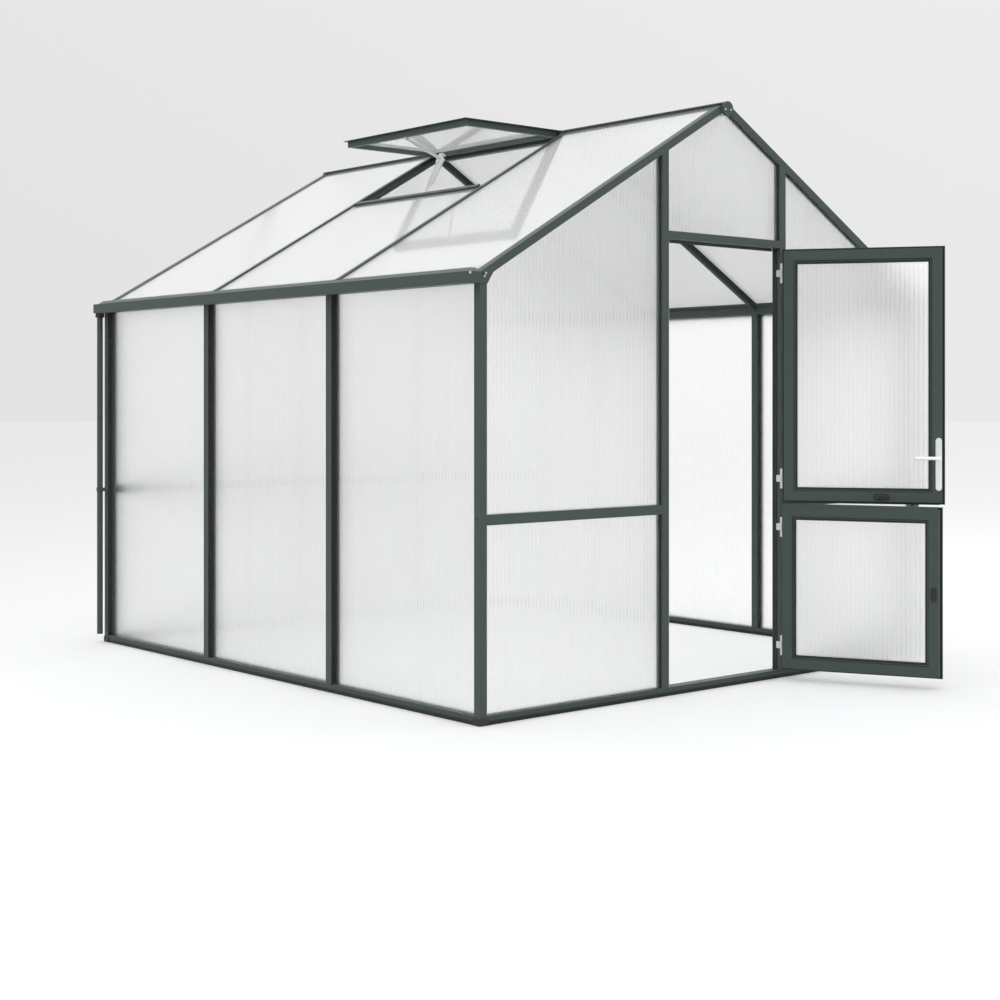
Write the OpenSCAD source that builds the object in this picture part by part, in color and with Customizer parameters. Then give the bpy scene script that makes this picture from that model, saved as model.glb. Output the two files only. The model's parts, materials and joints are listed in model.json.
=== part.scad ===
// A walk-in garden greenhouse: an aluminium frame glazed with multiwall sheets,
// three bays long, with a stable door in the front gable and one open roof vent.
// All sizes are in millimetres. The origin is at the middle of the front sill's
// underside, with X to the right, Y into the house and Z up.

/* [House] */
// Width over the outer faces of the side walls
body_w = 2780; // [2200:10:3600]
// Length over the outer faces of the two gables
body_d = 3000; // [2400:10:4500]
// Number of bays along each side wall
bay_count = 3; // [3:1:5]
// Pitch of the roof in degrees
roof_pitch = 30; // [24:1:36]
// Height of the rafters' underside at the outer face of the side walls
eave_z = 1690; // [1600:5:1900]

/* [Sheets] */
// Thickness of the multiwall sheets
sheet_t = 16; // [10:1:16]
// Distance from a side wall's outer face back to its sheets
side_set_back = 20; // [14:1:22]
// Distance from a gable's outer face back to its sheets
gable_set_back = 12; // [8:1:12]
// Distance from the rafters' underside up to the roof sheets
roof_sheet_rise = 12; // [11:1:16]
// Room left past the edge of a sheet in its slot
edge_room = 1; // [0.5:0.5:2]

/* [Sills] */
// Height of the sills
sill_h = 35; // [30:1:60]
// Depth of the sills, posts and eave beams through the wall
wall_depth = 50; // [46:1:60]
// Depth of the sheet groove in the top of a sill
sill_groove = 12; // [8:1:16]
// Length of each leg of the plastic corner caps at the base
base_cap_leg = 46; // [30:1:80]
// Height of the base corner caps
base_cap_h = 27; // [15:1:30]
// Wall thickness of the base corner caps
base_cap_t = 3; // [2:0.5:5]

/* [Posts and rails] */
// Face width of the corner posts
corner_w = 35; // [35:1:50]
// Face width of the posts in the side walls
wall_post_w = 40; // [30:1:60]
// Face width of the gable studs and door jambs
stud_w = 38; // [34:1:60]
// Depth of the gable studs, jambs and rails through the wall
stud_depth = 45; // [40:1:50]
// Thickness of the web between the two slots of a post or stud
post_web = 8; // [6:1:12]
// Depth of the slots that the corner posts hold the sheets by
corner_slot = 5; // [3:1:5]
// Height of the middle of the rails and of the split between the door leaves
mid_rail_z = 781; // [600:1:1000]
// Face height of the mid rails
mid_rail_h = 40; // [30:1:60]
// Depth of the sheet grooves in the rails and the header
rail_groove = 9; // [6:1:12]

/* [Roof] */
// Depth of the gable rafters through the wall
rafter_depth = 39; // [34:1:50]
// Thickness of the rafters and bars square to the slope
rafter_t = 32; // [30:1:50]
// Depth of the groove under a rafter for the gable sheets
rafter_groove = 10; // [6:1:12]
// Depth of the side slot in a rafter for the roof sheets
rafter_slot = 6; // [4:1:9]
// Width of the outer cap on the roof bars
bar_cap_w = 25; // [20:1:40]
// Width of the flange that carries the sheets on a roof bar
bar_flange_w = 40; // [30:1:60]
// Thickness of the flange under the sheets
bar_flange_t = 4; // [3:0.5:5]
// Width of the stem of a roof bar
bar_stem_w = 16; // [12:1:24]
// Depth of the stem of a roof bar below the rafters' underside
bar_stem_drop = 10; // [0:1:20]
// Thickness of the web of a roof bar
bar_web = 6; // [4:1:10]
// Outer radius of the ridge capping
ridge_r = 32; // [30:1:40]
// Height of the top of the ridge above the apex of the rafters' underside
ridge_top_rise = 37.5; // [37:0.5:42]
// Wall thickness of the ridge capping
ridge_wall = 3; // [2:0.5:4]
// Thickness of the web between the sheets under the capping
ridge_web = 12; // [8:1:16]
// Width of the ridge's inner beam
ridge_beam_w = 40; // [30:1:50]
// Distance from the top of the ridge down to the beam's underside
ridge_h = 52; // [48:1:70]
// Thickness of the ridge's end plates
ridge_plate_t = 12; // [3:1:20]

/* [Gutters] */
// Width of the gutter trough outside the wall
gutter_w = 56; // [40:1:90]
// Height of the gutter's outer face
gutter_h = 45; // [40:1:60]
// Distance of the trough's underside below the eave beam's underside
gutter_drop = 8; // [4:1:20]
// Wall thickness of the gutter
gutter_wall = 3; // [2:0.5:5]
// Width of the sloping lip on top of the gutter's outer face
gutter_lip_w = 27; // [10:1:32]
// Width of the seat along the eave beam's inner face for the roof sheets
eave_seat_w = 24; // [10:1:40]
// Length that the gutters run past the rear gable
gutter_overrun = 15; // [5:1:60]
// Thickness of the gutter's end plates
gutter_plate_t = 3; // [2:0.5:5]
// Distance from the eave line down the slope to the roof sheets' lower edge
sheet_overhang = 8; // [4:1:20]
// Outer diameter of the downpipe
pipe_d = 29; // [24:1:40]
// Wall thickness of the downpipe
pipe_wall = 2; // [1.5:0.5:4]
// Height of the downpipe's open foot above the ground
pipe_foot_z = 42; // [20:1:200]
// Outer diameter of the outlet under the gutter
outlet_d = 42; // [40:1:60]
// Height of the outlet under the gutter
outlet_h = 22; // [15:1:40]
// Height of the downpipe clip
clip_h = 18; // [10:1:30]
// Thickness of the downpipe clip
clip_t = 3; // [2:0.5:4]
// Gap between the clip and the downpipe
clip_play = 0.3; // [0.2:0.1:1]

/* [Corner plates] */
// Thickness of the plates that join post, rafter and eave beam
gusset_t = 2.5; // [2:0.5:5]
// Reach of the gusset along the gable from the post
gusset_reach = 30; // [15:1:60]
// Length of the plate along the rafter
gusset_len = 75; // [50:1:120]

/* [Doorway] */
// Clear width of the doorway between the jambs
door_clear_w = 715; // [650:5:900]
// Height of the header's underside
header_z = 1916; // [1850:2:1960]
// Face height of the header
header_h = 33; // [26:1:60]
// Depth that the header's rear lip hangs below its underside
header_lip_drop = 12; // [6:1:12]
// Thickness of the header's rear lip
header_lip_t = 3; // [2:0.5:3]

/* [Door leaves] */
// Gap between a leaf and the hinge jamb
hinge_gap = 6; // [5:0.5:8]
// Gap between a leaf and the latch jamb
latch_gap = 8; // [7:0.5:12]
// Gap between the upper leaf and the header
head_gap = 7; // [6:0.5:10]
// Gap between the lower leaf and the sill
sill_gap = 6; // [5:0.5:10]
// Gap between the two leaves
split_gap = 6; // [5:0.5:10]
// Thickness of a leaf frame
leaf_t = 42; // [38:1:44]
// Width of the thin flange round a leaf
leaf_flange_w = 10; // [6:1:14]
// Thickness of the flange round a leaf
leaf_flange_t = 4; // [3:0.5:6]
// Face width of a leaf's hollow frame bar
leaf_bar_w = 44; // [30:1:60]
// Face width of the glazing bead inside the frame bar
leaf_bead_w = 11; // [8:1:24]
// Distance that the bead is set back from the inner face of the leaf
leaf_bead_back = 6; // [3:1:10]
// Distance from a leaf's outer face to its sheet
leaf_sheet_back = 13; // [8:1:14]
// Depth of the sheet slot in the leaf frame
leaf_slot = 12; // [6:1:14]
// Angle that the upper leaf stands open
upper_open_angle = 124; // [0:1:170]
// Angle that the lower leaf stands open
lower_open_angle = 116; // [0:1:170]

/* [Hinges] */
// Distance of the hinge axis in front of the gable's outer face
axis_out = 6; // [6:0.5:10]
// Outer radius of the hinge knuckles
knuckle_r = 5; // [4:0.5:6]
// Radius of the hinge pins
hinge_pin_r = 2.5; // [2:0.25:3]
// Running clearance round the hinge pins
pin_play = 0.08; // [0.05:0.01:0.1]
// Gap between the ends of neighbouring knuckles
knuckle_play = 0.3; // [0.2:0.1:1]
// Length of a whole hinge
hinge_len = 88; // [60:1:120]
// Length of the middle knuckle and its block on the jamb
hinge_block_h = 30; // [20:1:40]
// Depth of the block along the jamb's side
hinge_block_depth = 20; // [14:1:30]
// Thickness of the block on the jamb's side
hinge_block_t = 3; // [2:0.5:3.5]
// Width of the strap on the leaf's outer face
hinge_strap_w = 24; // [16:1:36]
// Thickness of the strap
hinge_strap_t = 3; // [2:0.5:4]
// Distance from a leaf's end to the middle of its hinge
hinge_inset = 105; // [70:1:160]

/* [Handle and catches] */
// Height of the lever's spindle
lever_z = 987; // [900:1:1200]
// Distance from the leaf's free edge to the spindle
lever_inset = 26; // [20:1:30]
// Width of the handle plates
plate_w = 27; // [24:1:38]
// Height of the handle plates
plate_h = 230; // [160:5:260]
// Thickness of the handle plates
plate_t = 8; // [5:1:12]
// Distance from the spindle down to the middle of the plates
plate_drop = 27; // [0:1:50]
// Radius of the spindle
spindle_r = 4.5; // [3:0.5:6]
// Clearance round the spindle
spindle_play = 0.3; // [0.2:0.1:0.5]
// Radius of the hub of a lever
lever_hub_r = 9; // [7:0.5:12]
// Distance from a handle plate to the lever's grip
lever_stand_off = 30; // [20:1:45]
// Thickness of the lever's grip
lever_t = 15; // [10:1:20]
// Length of the lever from the spindle
lever_len = 102; // [80:1:130]
// Length of the lever past the spindle towards the leaf's free edge
lever_tail = 14; // [8:1:18]
// Distance from the leaf's hinge edge to the middle of the leaf bolt
bolt_from_hinge = 434; // [150:1:550]
// Width of the leaf bolt's housing
bolt_w = 70; // [40:1:90]
// Height of the leaf bolt's housing
bolt_h = 30; // [20:1:36]
// Thickness of the leaf bolt's housing
bolt_t = 14; // [8:1:20]
// Height of the middle of the lower leaf's catch
catch_z = 406; // [300:1:650]
// Width of the catch
catch_w = 26; // [20:1:34]
// Height of the catch
catch_h = 60; // [40:1:90]
// Thickness of the catch
catch_t = 12; // [8:1:20]

/* [Roof vent] */
// Length of the vent from its hinge to its free edge
vent_len = 590; // [400:10:700]
// Gap between the vent's lip and the roof bars' caps at each side
vent_side_gap = 10; // [4:1:12]
// Width of the lip outside the vent's rails
vent_lip_w = 15; // [8:1:20]
// Thickness of the lip
vent_lip_t = 3; // [2:0.5:4]
// Width of the vent's rails
vent_rail_w = 22; // [18:1:40]
// Height of the vent's rails
vent_rail_h = 32; // [28:1:50]
// Thickness of the vent's sheet
vent_sheet_t = 10; // [6:1:16]
// Depth of the sheet slot in the vent's rails
vent_slot = 14; // [8:1:16]
// Angle of the vent above the horizontal
vent_tilt = 0; // [-5:1:20]
// Radius of the hinge bead along the ridge
vent_bead_r = 4; // [3:0.5:6]
// Depth that the hinge bead sinks into the ridge capping
vent_bead_sink = 1; // [0.5:0.5:2]
// Angle of the hinge bead round the ridge capping, up from its side
vent_bead_turn = 37; // [30:1:50]
// Gap between the hinge bead and the vent's hook
vent_hook_play = 0.3; // [0.2:0.1:0.5]
// Wall thickness of the hook
vent_hook_wall = 3; // [2:0.5:4]
// Width of the sill bar below the vent
vent_sill_w = 25; // [20:1:40]
// Height of the sill bar above the rafters' top
vent_sill_rise = 7; // [4:1:15]
// Distance from the hinge bead to the vent's first rail
vent_hook_reach = 13; // [12:1:30]
// Height of the lip's underside above the middle of the hinge bead
vent_lip_rise = 2; // [1:0.5:2]
// Width of the opener's upper arm
arm_w = 14; // [8:1:24]
// Thickness of the opener's upper arm
arm_t = 8; // [4:1:12]
// Radius of the opener's joint pins
arm_pin_r = 4; // [3:0.5:6]
// Distance from the ridge's middle plane to the opener's elbow
elbow_x = 382; // [300:1:450]
// Depth of the elbow below the vent's hinge
elbow_drop = 110; // [80:1:160]
// Width of the joint block at the elbow
elbow_block_w = 20; // [14:1:24]
// Length of the joint block at the elbow
elbow_block_h = 50; // [30:1:60]
// Thickness of the joint block through the elbow
elbow_block_t = 30; // [20:1:40]
// Diameter of the opener's cylinder
ram_d = 20; // [14:1:24]
// Share of the lower arm's length that the cylinder takes
ram_share = 0.6; // [0.4:0.05:0.8]
// Diameter of the cylinder's rod and of the stay beside it
stay_d = 8; // [5:1:10]
// Distance between the stay and the cylinder at the elbow
stay_spread = 40; // [30:1:60]
// Distance between the stay and the cylinder's rod at the foot
foot_spread = 12; // [10:1:30]
// Distance up the slope from the middle of the sill bar to the foot pin
foot_out = 31; // [26:1:50]
// Distance of the foot pin below the sill bar's underside
foot_drop = 10; // [6:1:14]
// Thickness of the foot's plate on the sill bar
foot_plate_t = 3; // [2:0.5:5]
// Height of the foot's plate on the sill bar
foot_plate_h = 14; // [8:1:20]

/* [Hidden] */

$fn = 48;
frame_green = [0.30, 0.345, 0.33];
sheet_white = [0.92, 0.93, 0.94];
silver = [0.78, 0.79, 0.8];
plastic_black = [0.08, 0.085, 0.085];

// The house's main lines
half_w = body_w / 2;
front_y = -wall_depth / 2;
rear_y = front_y + body_d;
mid_y = (front_y + rear_y) / 2;
bay = body_d / bay_count;
apex_z = eave_z + half_w * tan(roof_pitch);
post_web_half = post_web / 2;
vent_bay = 2;
far = 10000;

// Roof levels, square to the slope from the rafters' underside
sheet_top_v = roof_sheet_rise + sheet_t;
slope_per_x = 1 / cos(roof_pitch);

// The ridge
ridge_top_z = apex_z + ridge_top_rise;
ridge_centre_z = ridge_top_z - ridge_r;
ridge_foot_z = ridge_top_z - ridge_h;
sheet_apex_z = apex_z + roof_sheet_rise * slope_per_x;
sheet_apex_top_z = apex_z + sheet_top_v * slope_per_x;
sheet_end_from_ridge = ridge_web + edge_room;
sheet_slope_end = (half_w - sheet_end_from_ridge) * slope_per_x + roof_sheet_rise * tan(roof_pitch);

// The doorway and its leaves
jamb_x = door_clear_w / 2;
stud_x = jamb_x + stud_w / 2;
hinge_x = jamb_x;
hinge_y = front_y - axis_out;
leaf_w = door_clear_w - hinge_gap - latch_gap;
leaf_right = jamb_x - hinge_gap;
leaf_left = leaf_right - leaf_w;
upper_z0 = mid_rail_z + split_gap / 2;
upper_z1 = header_z - head_gap;
lower_z0 = sill_h + sill_gap;
lower_z1 = mid_rail_z - split_gap / 2;
leaf_hole_inset = leaf_flange_w + leaf_bar_w + leaf_bead_w;
upper_hinges = [upper_z0 + hinge_inset, upper_z1 - hinge_inset];
lower_hinges = [lower_z0 + hinge_inset, lower_z1 - hinge_inset];
spindle_x = leaf_left + lever_inset;
leaf_inner_y = front_y + leaf_t;

// The vent
vent_bead_reach = ridge_r + vent_bead_r - vent_bead_sink;
vent_bead_x = -vent_bead_reach * cos(vent_bead_turn);
vent_bead_z = ridge_centre_z + vent_bead_reach * sin(vent_bead_turn);
vent_bay_y = front_y + (vent_bay - 1) * bay;
vent_y0 = vent_bay_y + bar_cap_w / 2 + vent_side_gap;
vent_w = bay - bar_cap_w - 2 * vent_side_gap;
vent_hook_r = vent_bead_r + vent_hook_play + vent_hook_wall;
vent_sill_s = (half_w + vent_bead_x - vent_len * cos(roof_pitch)) * slope_per_x + vent_sill_w / 2;
vent_sheet_end = vent_sill_s - vent_sill_w / 2 + rail_groove - edge_room;
vent_mid_y = vent_y0 + vent_w / 2;

// Extrudes an outline drawn in X and Z along Y
module along_y(y0, length) {
    translate([0, y0 + length, 0])
        rotate([90, 0, 0])
            linear_extrude(length)
                children();
}

// Copies to the right side of the house
module right_side() {
    mirror([1, 0, 0])
        children();
}

// Copies to the rear gable
module rear_side() {
    translate([0, 2 * mid_y, 0])
        mirror([0, 1, 0])
            children();
}

module both_sides() {
    children();
    right_side()
        children();
}

// Local frame of the left roof slope: X up the slope, Y along the house and Z square to the slope
module on_slope() {
    translate([-half_w, 0, eave_z])
        rotate([0, -roof_pitch, 0])
            children();
}

// Outline of a gable in X and Z up to the rafters' underside, raised by a given height
module gable_outline(raise = 0) {
    polygon([
        [-half_w, 0], [half_w, 0], [half_w, eave_z + raise],
        [0, apex_z + raise], [-half_w, eave_z + raise]
    ]);
}

// Keeps what lies below the rafters' underside
module under_roof() {
    intersection() {
        children();
        along_y(front_y - 1, body_d + 2)
            gable_outline();
    }
}

// Sills

module sill_plan(length) {
    polygon([[0, 0], [length, 0], [length - wall_depth, wall_depth], [wall_depth, wall_depth]]);
}

module groove(size_x, size_y) {
    translate([0, 0, sill_h - sill_groove])
        cube([size_x, size_y, sill_groove + 1]);
}

module gable_sill(groove_spans) {
    difference() {
        translate([-half_w, front_y, 0])
            linear_extrude(sill_h)
                sill_plan(body_w);
        for (span = groove_spans)
            translate([span[0], front_y + gable_set_back, 0])
                groove(span[1] - span[0], sheet_t);
        both_sides()
            translate([-half_w + side_set_back, front_y + corner_w - corner_slot, 0])
                groove(sheet_t, wall_depth);
    }
}

gable_slot_x = half_w - corner_w + corner_slot;
stud_slot_x = stud_x + post_web_half;

module sill_front() {
    color(frame_green)
        gable_sill([[-gable_slot_x, -stud_slot_x], [stud_slot_x, gable_slot_x]]);
}

module sill_rear() {
    color(frame_green)
        rear_side()
            gable_sill([[-gable_slot_x, gable_slot_x]]);
}

module sill_left() {
    color(frame_green)
        difference() {
            translate([-half_w, rear_y, 0])
                rotate([0, 0, -90])
                    linear_extrude(sill_h)
                        sill_plan(body_d);
            translate([-half_w + side_set_back, front_y + wall_depth / 2, 0])
                groove(sheet_t, body_d - wall_depth);
        }
}

module sill_right() {
    right_side()
        sill_left();
}

module base_corner_cap() {
    translate([-half_w - base_cap_t, front_y - base_cap_t, 0])
        linear_extrude(base_cap_h)
            difference() {
                square(base_cap_leg);
                translate([base_cap_t, base_cap_t])
                    square(base_cap_leg);
            }
}

module base_corner_caps() {
    color(plastic_black) {
        both_sides()
            base_corner_cap();
        rear_side()
            both_sides()
                base_corner_cap();
    }
}

// Posts

// Square outside, with a block behind the two sheets
module corner_post_plan() {
    slot_start = corner_w - corner_slot;
    gable_inner = gable_set_back + sheet_t;
    difference() {
        union() {
            square(corner_w);
            translate([slot_start, gable_inner])
                square([wall_depth - slot_start, wall_depth - gable_inner]);
        }
        translate([side_set_back, slot_start])
            square([sheet_t, wall_depth]);
        translate([slot_start, gable_set_back])
            square([wall_depth, sheet_t]);
    }
}

module corner_post() {
    under_roof()
        translate([-half_w, front_y, sill_h])
            linear_extrude(eave_z)
                corner_post_plan();
}

module corner_posts_left() {
    color(frame_green) {
        corner_post();
        rear_side()
            corner_post();
    }
}

module corner_posts_right() {
    right_side()
        corner_posts_left();
}

module wall_post_plan() {
    difference() {
        translate([0, -wall_post_w / 2])
            square([wall_depth, wall_post_w]);
        for (side = [-1, 1])
            translate([side_set_back, side * (post_web_half + far / 2) - far / 2])
                square([sheet_t, far]);
    }
}

module wall_posts_left() {
    color(frame_green)
        for (i = [1 : bay_count - 1])
            translate([-half_w, front_y + i * bay, sill_h])
                linear_extrude(eave_z - sill_h)
                    wall_post_plan();
}

module wall_posts_right() {
    right_side()
        wall_posts_left();
}

// A gable stud in plan, centred on X, with a slot on each side named by sign
module stud_plan(slots) {
    difference() {
        translate([-stud_w / 2, 0])
            square([stud_w, stud_depth]);
        for (side = slots)
            translate([side * (post_web_half + far / 2) - far / 2, gable_set_back])
                square([far, sheet_t]);
    }
}

module left_stud(slots) {
    under_roof()
        translate([-stud_x, front_y, sill_h])
            linear_extrude(apex_z)
                stud_plan(slots);
}

// The door jambs: slotted all the way outside the doorway, and inside it above the header
module door_jamb_latch() {
    color(frame_green)
        difference() {
            left_stud([-1]);
            translate([-stud_x + post_web_half, front_y + gable_set_back, header_z + header_h - rail_groove])
                cube([far, sheet_t, far]);
        }
}

module door_jamb_hinge() {
    right_side()
        door_jamb_latch();
}

module door_header() {
    color(frame_green)
        translate([-jamb_x, front_y, header_z])
            difference() {
                union() {
                    cube([door_clear_w, stud_depth, header_h]);
                    translate([0, wall_depth - header_lip_t, -header_lip_drop])
                        cube([door_clear_w, header_lip_t, header_lip_drop + header_lip_t]);
                    translate([0, stud_depth - header_lip_t, 0])
                        cube([door_clear_w, wall_depth - stud_depth + header_lip_t, header_lip_t]);
                }
                translate([-1, gable_set_back, header_h - rail_groove])
                    cube([door_clear_w + 2, sheet_t, rail_groove + 1]);
            }
}

// A mid rail between two faces, grooved above and below for the sheets
module mid_rail(x0, x1) {
    translate([x0, front_y, mid_rail_z - mid_rail_h / 2])
        difference() {
            cube([x1 - x0, stud_depth, mid_rail_h]);
            for (z = [-1, mid_rail_h - rail_groove])
                translate([-1, gable_set_back, z])
                    cube([x1 - x0 + 2, sheet_t, rail_groove + 1]);
        }
}

// The rail beside a corner post, notched round the block in the post
module side_mid_rail() {
    difference() {
        mid_rail(-half_w + corner_w, -stud_x - stud_w / 2);
        translate([-half_w, front_y + gable_set_back + sheet_t, 0])
            cube([wall_depth, wall_depth, mid_rail_z + mid_rail_h]);
    }
}

module mid_rails_front() {
    color(frame_green)
        both_sides()
            side_mid_rail();
}

module studs_rear() {
    color(frame_green)
        rear_side()
            both_sides()
                left_stud([-1, 1]);
}

module mid_rails_rear() {
    color(frame_green)
        rear_side() {
            both_sides()
                side_mid_rail();
            mid_rail(-jamb_x, jamb_x);
        }
}

// Roof

// What the ridge takes out of the rafters' upper ends
module ridge_cut() {
    intersection() {
        translate([0, ridge_centre_z])
            circle(ridge_r);
        translate([-ridge_r, ridge_centre_z])
            square([2 * ridge_r, ridge_r]);
    }
    translate([-ridge_beam_w / 2, ridge_foot_z - far])
        square([ridge_beam_w, far + ridge_centre_z - ridge_foot_z]);
}

module gable_rafter() {
    difference() {
        intersection() {
            on_slope()
                translate([-far / 2, front_y, 0])
                    cube([far, rafter_depth, rafter_t]);
            translate([-half_w, front_y - 1, 0])
                cube([half_w, body_d, far]);
        }
        on_slope() {
            translate([-far / 2, front_y + gable_set_back, -1])
                cube([far, sheet_t, rafter_groove + 1]);
            translate([-far / 2, front_y + rafter_depth - rafter_slot, roof_sheet_rise])
                cube([far, rafter_slot + 1, sheet_t]);
        }
        along_y(front_y - 1, body_d)
            ridge_cut();
    }
}

module gable_rafters_front() {
    color(frame_green)
        both_sides()
            gable_rafter();
}

module gable_rafters_rear() {
    rear_side()
        gable_rafters_front();
}

// A roof bar's outline in Y and the height square to the slope
module bar_outline() {
    translate([-bar_cap_w / 2, sheet_top_v])
        square([bar_cap_w, rafter_t - sheet_top_v]);
    translate([-bar_web / 2, roof_sheet_rise - 1])
        square([bar_web, sheet_t + 2]);
    translate([-bar_flange_w / 2, roof_sheet_rise - bar_flange_t])
        square([bar_flange_w, bar_flange_t]);
    translate([-bar_stem_w / 2, -bar_stem_drop])
        square([bar_stem_w, bar_stem_drop + roof_sheet_rise - bar_flange_t / 2]);
}

// The roof bars run from the eave beam to the ridge
module roof_bar() {
    difference() {
        intersection() {
            on_slope()
                rotate([90, 0, 90])
                    linear_extrude(far)
                        bar_outline();
            translate([-half_w + wall_depth, -far, 0])
                cube([half_w - wall_depth, 2 * far, far]);
        }
        along_y(-far / 2, far)
            ridge_cut();
    }
}

module roof_bars_left() {
    color(frame_green)
        for (i = [1 : bay_count - 1])
            translate([0, front_y + i * bay, 0])
                roof_bar();
}

module roof_bars_right() {
    right_side()
        roof_bars_left();
}

// The ridge: a round capping over the sheets, a web and a beam under them, and a hinge bead each side
module ridge_outline() {
    difference() {
        translate([0, ridge_centre_z])
            circle(ridge_r);
        translate([0, ridge_centre_z])
            circle(ridge_r - ridge_wall);
        polygon([
            [-far, sheet_apex_top_z - far * tan(roof_pitch)], [0, sheet_apex_top_z],
            [far, sheet_apex_top_z - far * tan(roof_pitch)]
        ]);
    }
    translate([-ridge_web / 2, ridge_centre_z])
        square([ridge_web, ridge_r - ridge_wall / 2]);
    intersection() {
        translate([-ridge_beam_w / 2, ridge_foot_z])
            square([ridge_beam_w, ridge_h]);
        polygon([
            [-far, sheet_apex_z - far * tan(roof_pitch)], [0, sheet_apex_z],
            [far, sheet_apex_z - far * tan(roof_pitch)]
        ]);
    }
    for (side = [-1, 1])
        translate([side * vent_bead_x, vent_bead_z])
            circle(vent_bead_r);
}

module ridge_beam() {
    color(frame_green)
        along_y(front_y, body_d)
            ridge_outline();
}

module ridge_plate() {
    along_y(front_y - ridge_plate_t, ridge_plate_t) {
        translate([0, ridge_centre_z])
            circle(ridge_r);
        translate([-ridge_r, ridge_foot_z])
            square([2 * ridge_r, ridge_centre_z - ridge_foot_z]);
    }
}

module ridge_end_plates() {
    color(frame_green) {
        ridge_plate();
        rear_side()
            ridge_plate();
    }
}

// Gutters

gutter_z = eave_z - gutter_drop;
beam_top = eave_z + roof_sheet_rise * slope_per_x;

// Eave beam and gutter in X from the wall's outer face and in Z
module gutter_outline() {
    difference() {
        polygon([
            [-gutter_wall, gutter_z], [0, eave_z], [wall_depth, eave_z],
            [wall_depth, beam_top + wall_depth * tan(roof_pitch)],
            [-gutter_wall, beam_top - gutter_wall * tan(roof_pitch)]
        ]);
        translate([side_set_back, eave_z - 1])
            square([sheet_t, rafter_groove + 1]);
    }
    difference() {
        translate([-gutter_w, gutter_z])
            square([gutter_w, gutter_h]);
        translate([-gutter_w + gutter_wall, gutter_z + gutter_wall])
            square([gutter_w, gutter_h]);
    }
}

// The seats that carry the roof sheets inside the eave beam, level with the roof bars' flanges
module eave_seats() {
    intersection() {
        on_slope()
            for (i = [0 : bay_count - 1]) {
                y0 = i == 0 ? rafter_depth : i * bay + bar_flange_w / 2;
                y1 = i == bay_count - 1 ? body_d - rafter_depth : (i + 1) * bay - bar_flange_w / 2;
                translate([0, front_y + y0, roof_sheet_rise - bar_flange_t])
                    cube([half_w, y1 - y0, bar_flange_t]);
            }
        translate([-half_w + wall_depth - 1, front_y, 0])
            cube([eave_seat_w + 1, body_d, far]);
    }
}

gutter_y0 = front_y - gusset_t;
gutter_y1 = rear_y + gutter_overrun;
gutter_top = gutter_z + gutter_h;
gutter_lip_y1 = rear_y - rafter_depth;

// A wedge that rises from the gutter's top at the roof's pitch, lowered by a given depth
module lip_wedge(run, length, drop) {
    along_y(0, length)
        polygon([
            [0, gutter_top - 1 - drop], [run, gutter_top - 1 - drop],
            [run, gutter_top - drop + run * tan(roof_pitch)], [0, gutter_top - drop]
        ]);
}

module lip_block(drop) {
    length = gutter_lip_y1 - gutter_y0;
    translate([-half_w, gutter_y0, 0])
        intersection() {
            translate([-gutter_w, 0, 0])
                lip_wedge(gutter_w, length, drop);
            rotate([0, 0, 90])
                lip_wedge(length, gutter_w, drop);
        }
}

// The lip slopes inwards from the gutter's outer face and from its front end
module gutter_lip() {
    difference() {
        lip_block(0);
        lip_block(gutter_wall);
        translate([-half_w - gutter_w + gutter_lip_w, gutter_y0 + gutter_lip_w, gutter_z])
            cube([gutter_w, body_d, far]);
    }
}

module gutter_plate(y) {
    translate([-half_w, 0, 0])
        along_y(y, gutter_plate_t)
            translate([-gutter_w, gutter_z])
                square([gutter_w, gutter_h]);
}

module gutter_shell() {
    difference() {
        translate([-half_w, 0, 0])
            along_y(gutter_y0, gutter_y1 - gutter_y0)
                gutter_outline();
        for (y = [front_y - far, rear_y - wall_depth])
            translate([-half_w, y, 0])
                cube([far, far + wall_depth, far]);
    }
    gutter_plate(gutter_y0);
    gutter_plate(gutter_y1 - gutter_plate_t);
    gutter_lip();
    eave_seats();
}

pipe_x = -half_w - gutter_w / 2;
pipe_y = gutter_y1 - gutter_plate_t - pipe_d / 2;

module gutter_left() {
    color(frame_green)
        difference() {
            gutter_shell();
            translate([pipe_x, pipe_y, gutter_z - 1])
                cylinder(h = gutter_wall + 2, d = pipe_d - 2 * pipe_wall);
        }
}

module gutter_right() {
    color(frame_green)
        right_side()
            gutter_shell();
}

module downpipe() {
    color(frame_green)
        translate([pipe_x, pipe_y, 0])
            difference() {
                union() {
                    translate([0, 0, pipe_foot_z])
                        cylinder(h = gutter_z - pipe_foot_z, d = pipe_d);
                    translate([0, 0, gutter_z - outlet_h])
                        cylinder(h = outlet_h, d = outlet_d);
                }
                translate([0, 0, pipe_foot_z - 1])
                    cylinder(h = gutter_z, d = pipe_d - 2 * pipe_wall);
            }
}

// The clip holds the pipe to the rear corner post
module downpipe_clip() {
    bore = pipe_d + 2 * clip_play;
    color(frame_green)
        translate([0, 0, mid_rail_z - clip_h / 2])
            linear_extrude(clip_h)
                difference() {
                    union() {
                        translate([pipe_x, pipe_y])
                            circle(d = bore + 2 * clip_t);
                        translate([pipe_x, rear_y - corner_w])
                            square([-half_w - pipe_x, clip_t]);
                        translate([pipe_x, rear_y - corner_w])
                            square([clip_t, corner_w - (rear_y - pipe_y)]);
                        translate([-half_w - clip_t, rear_y - corner_w])
                            square([clip_t, corner_w]);
                    }
                    translate([pipe_x, pipe_y])
                        circle(d = bore);
                }
}

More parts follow.
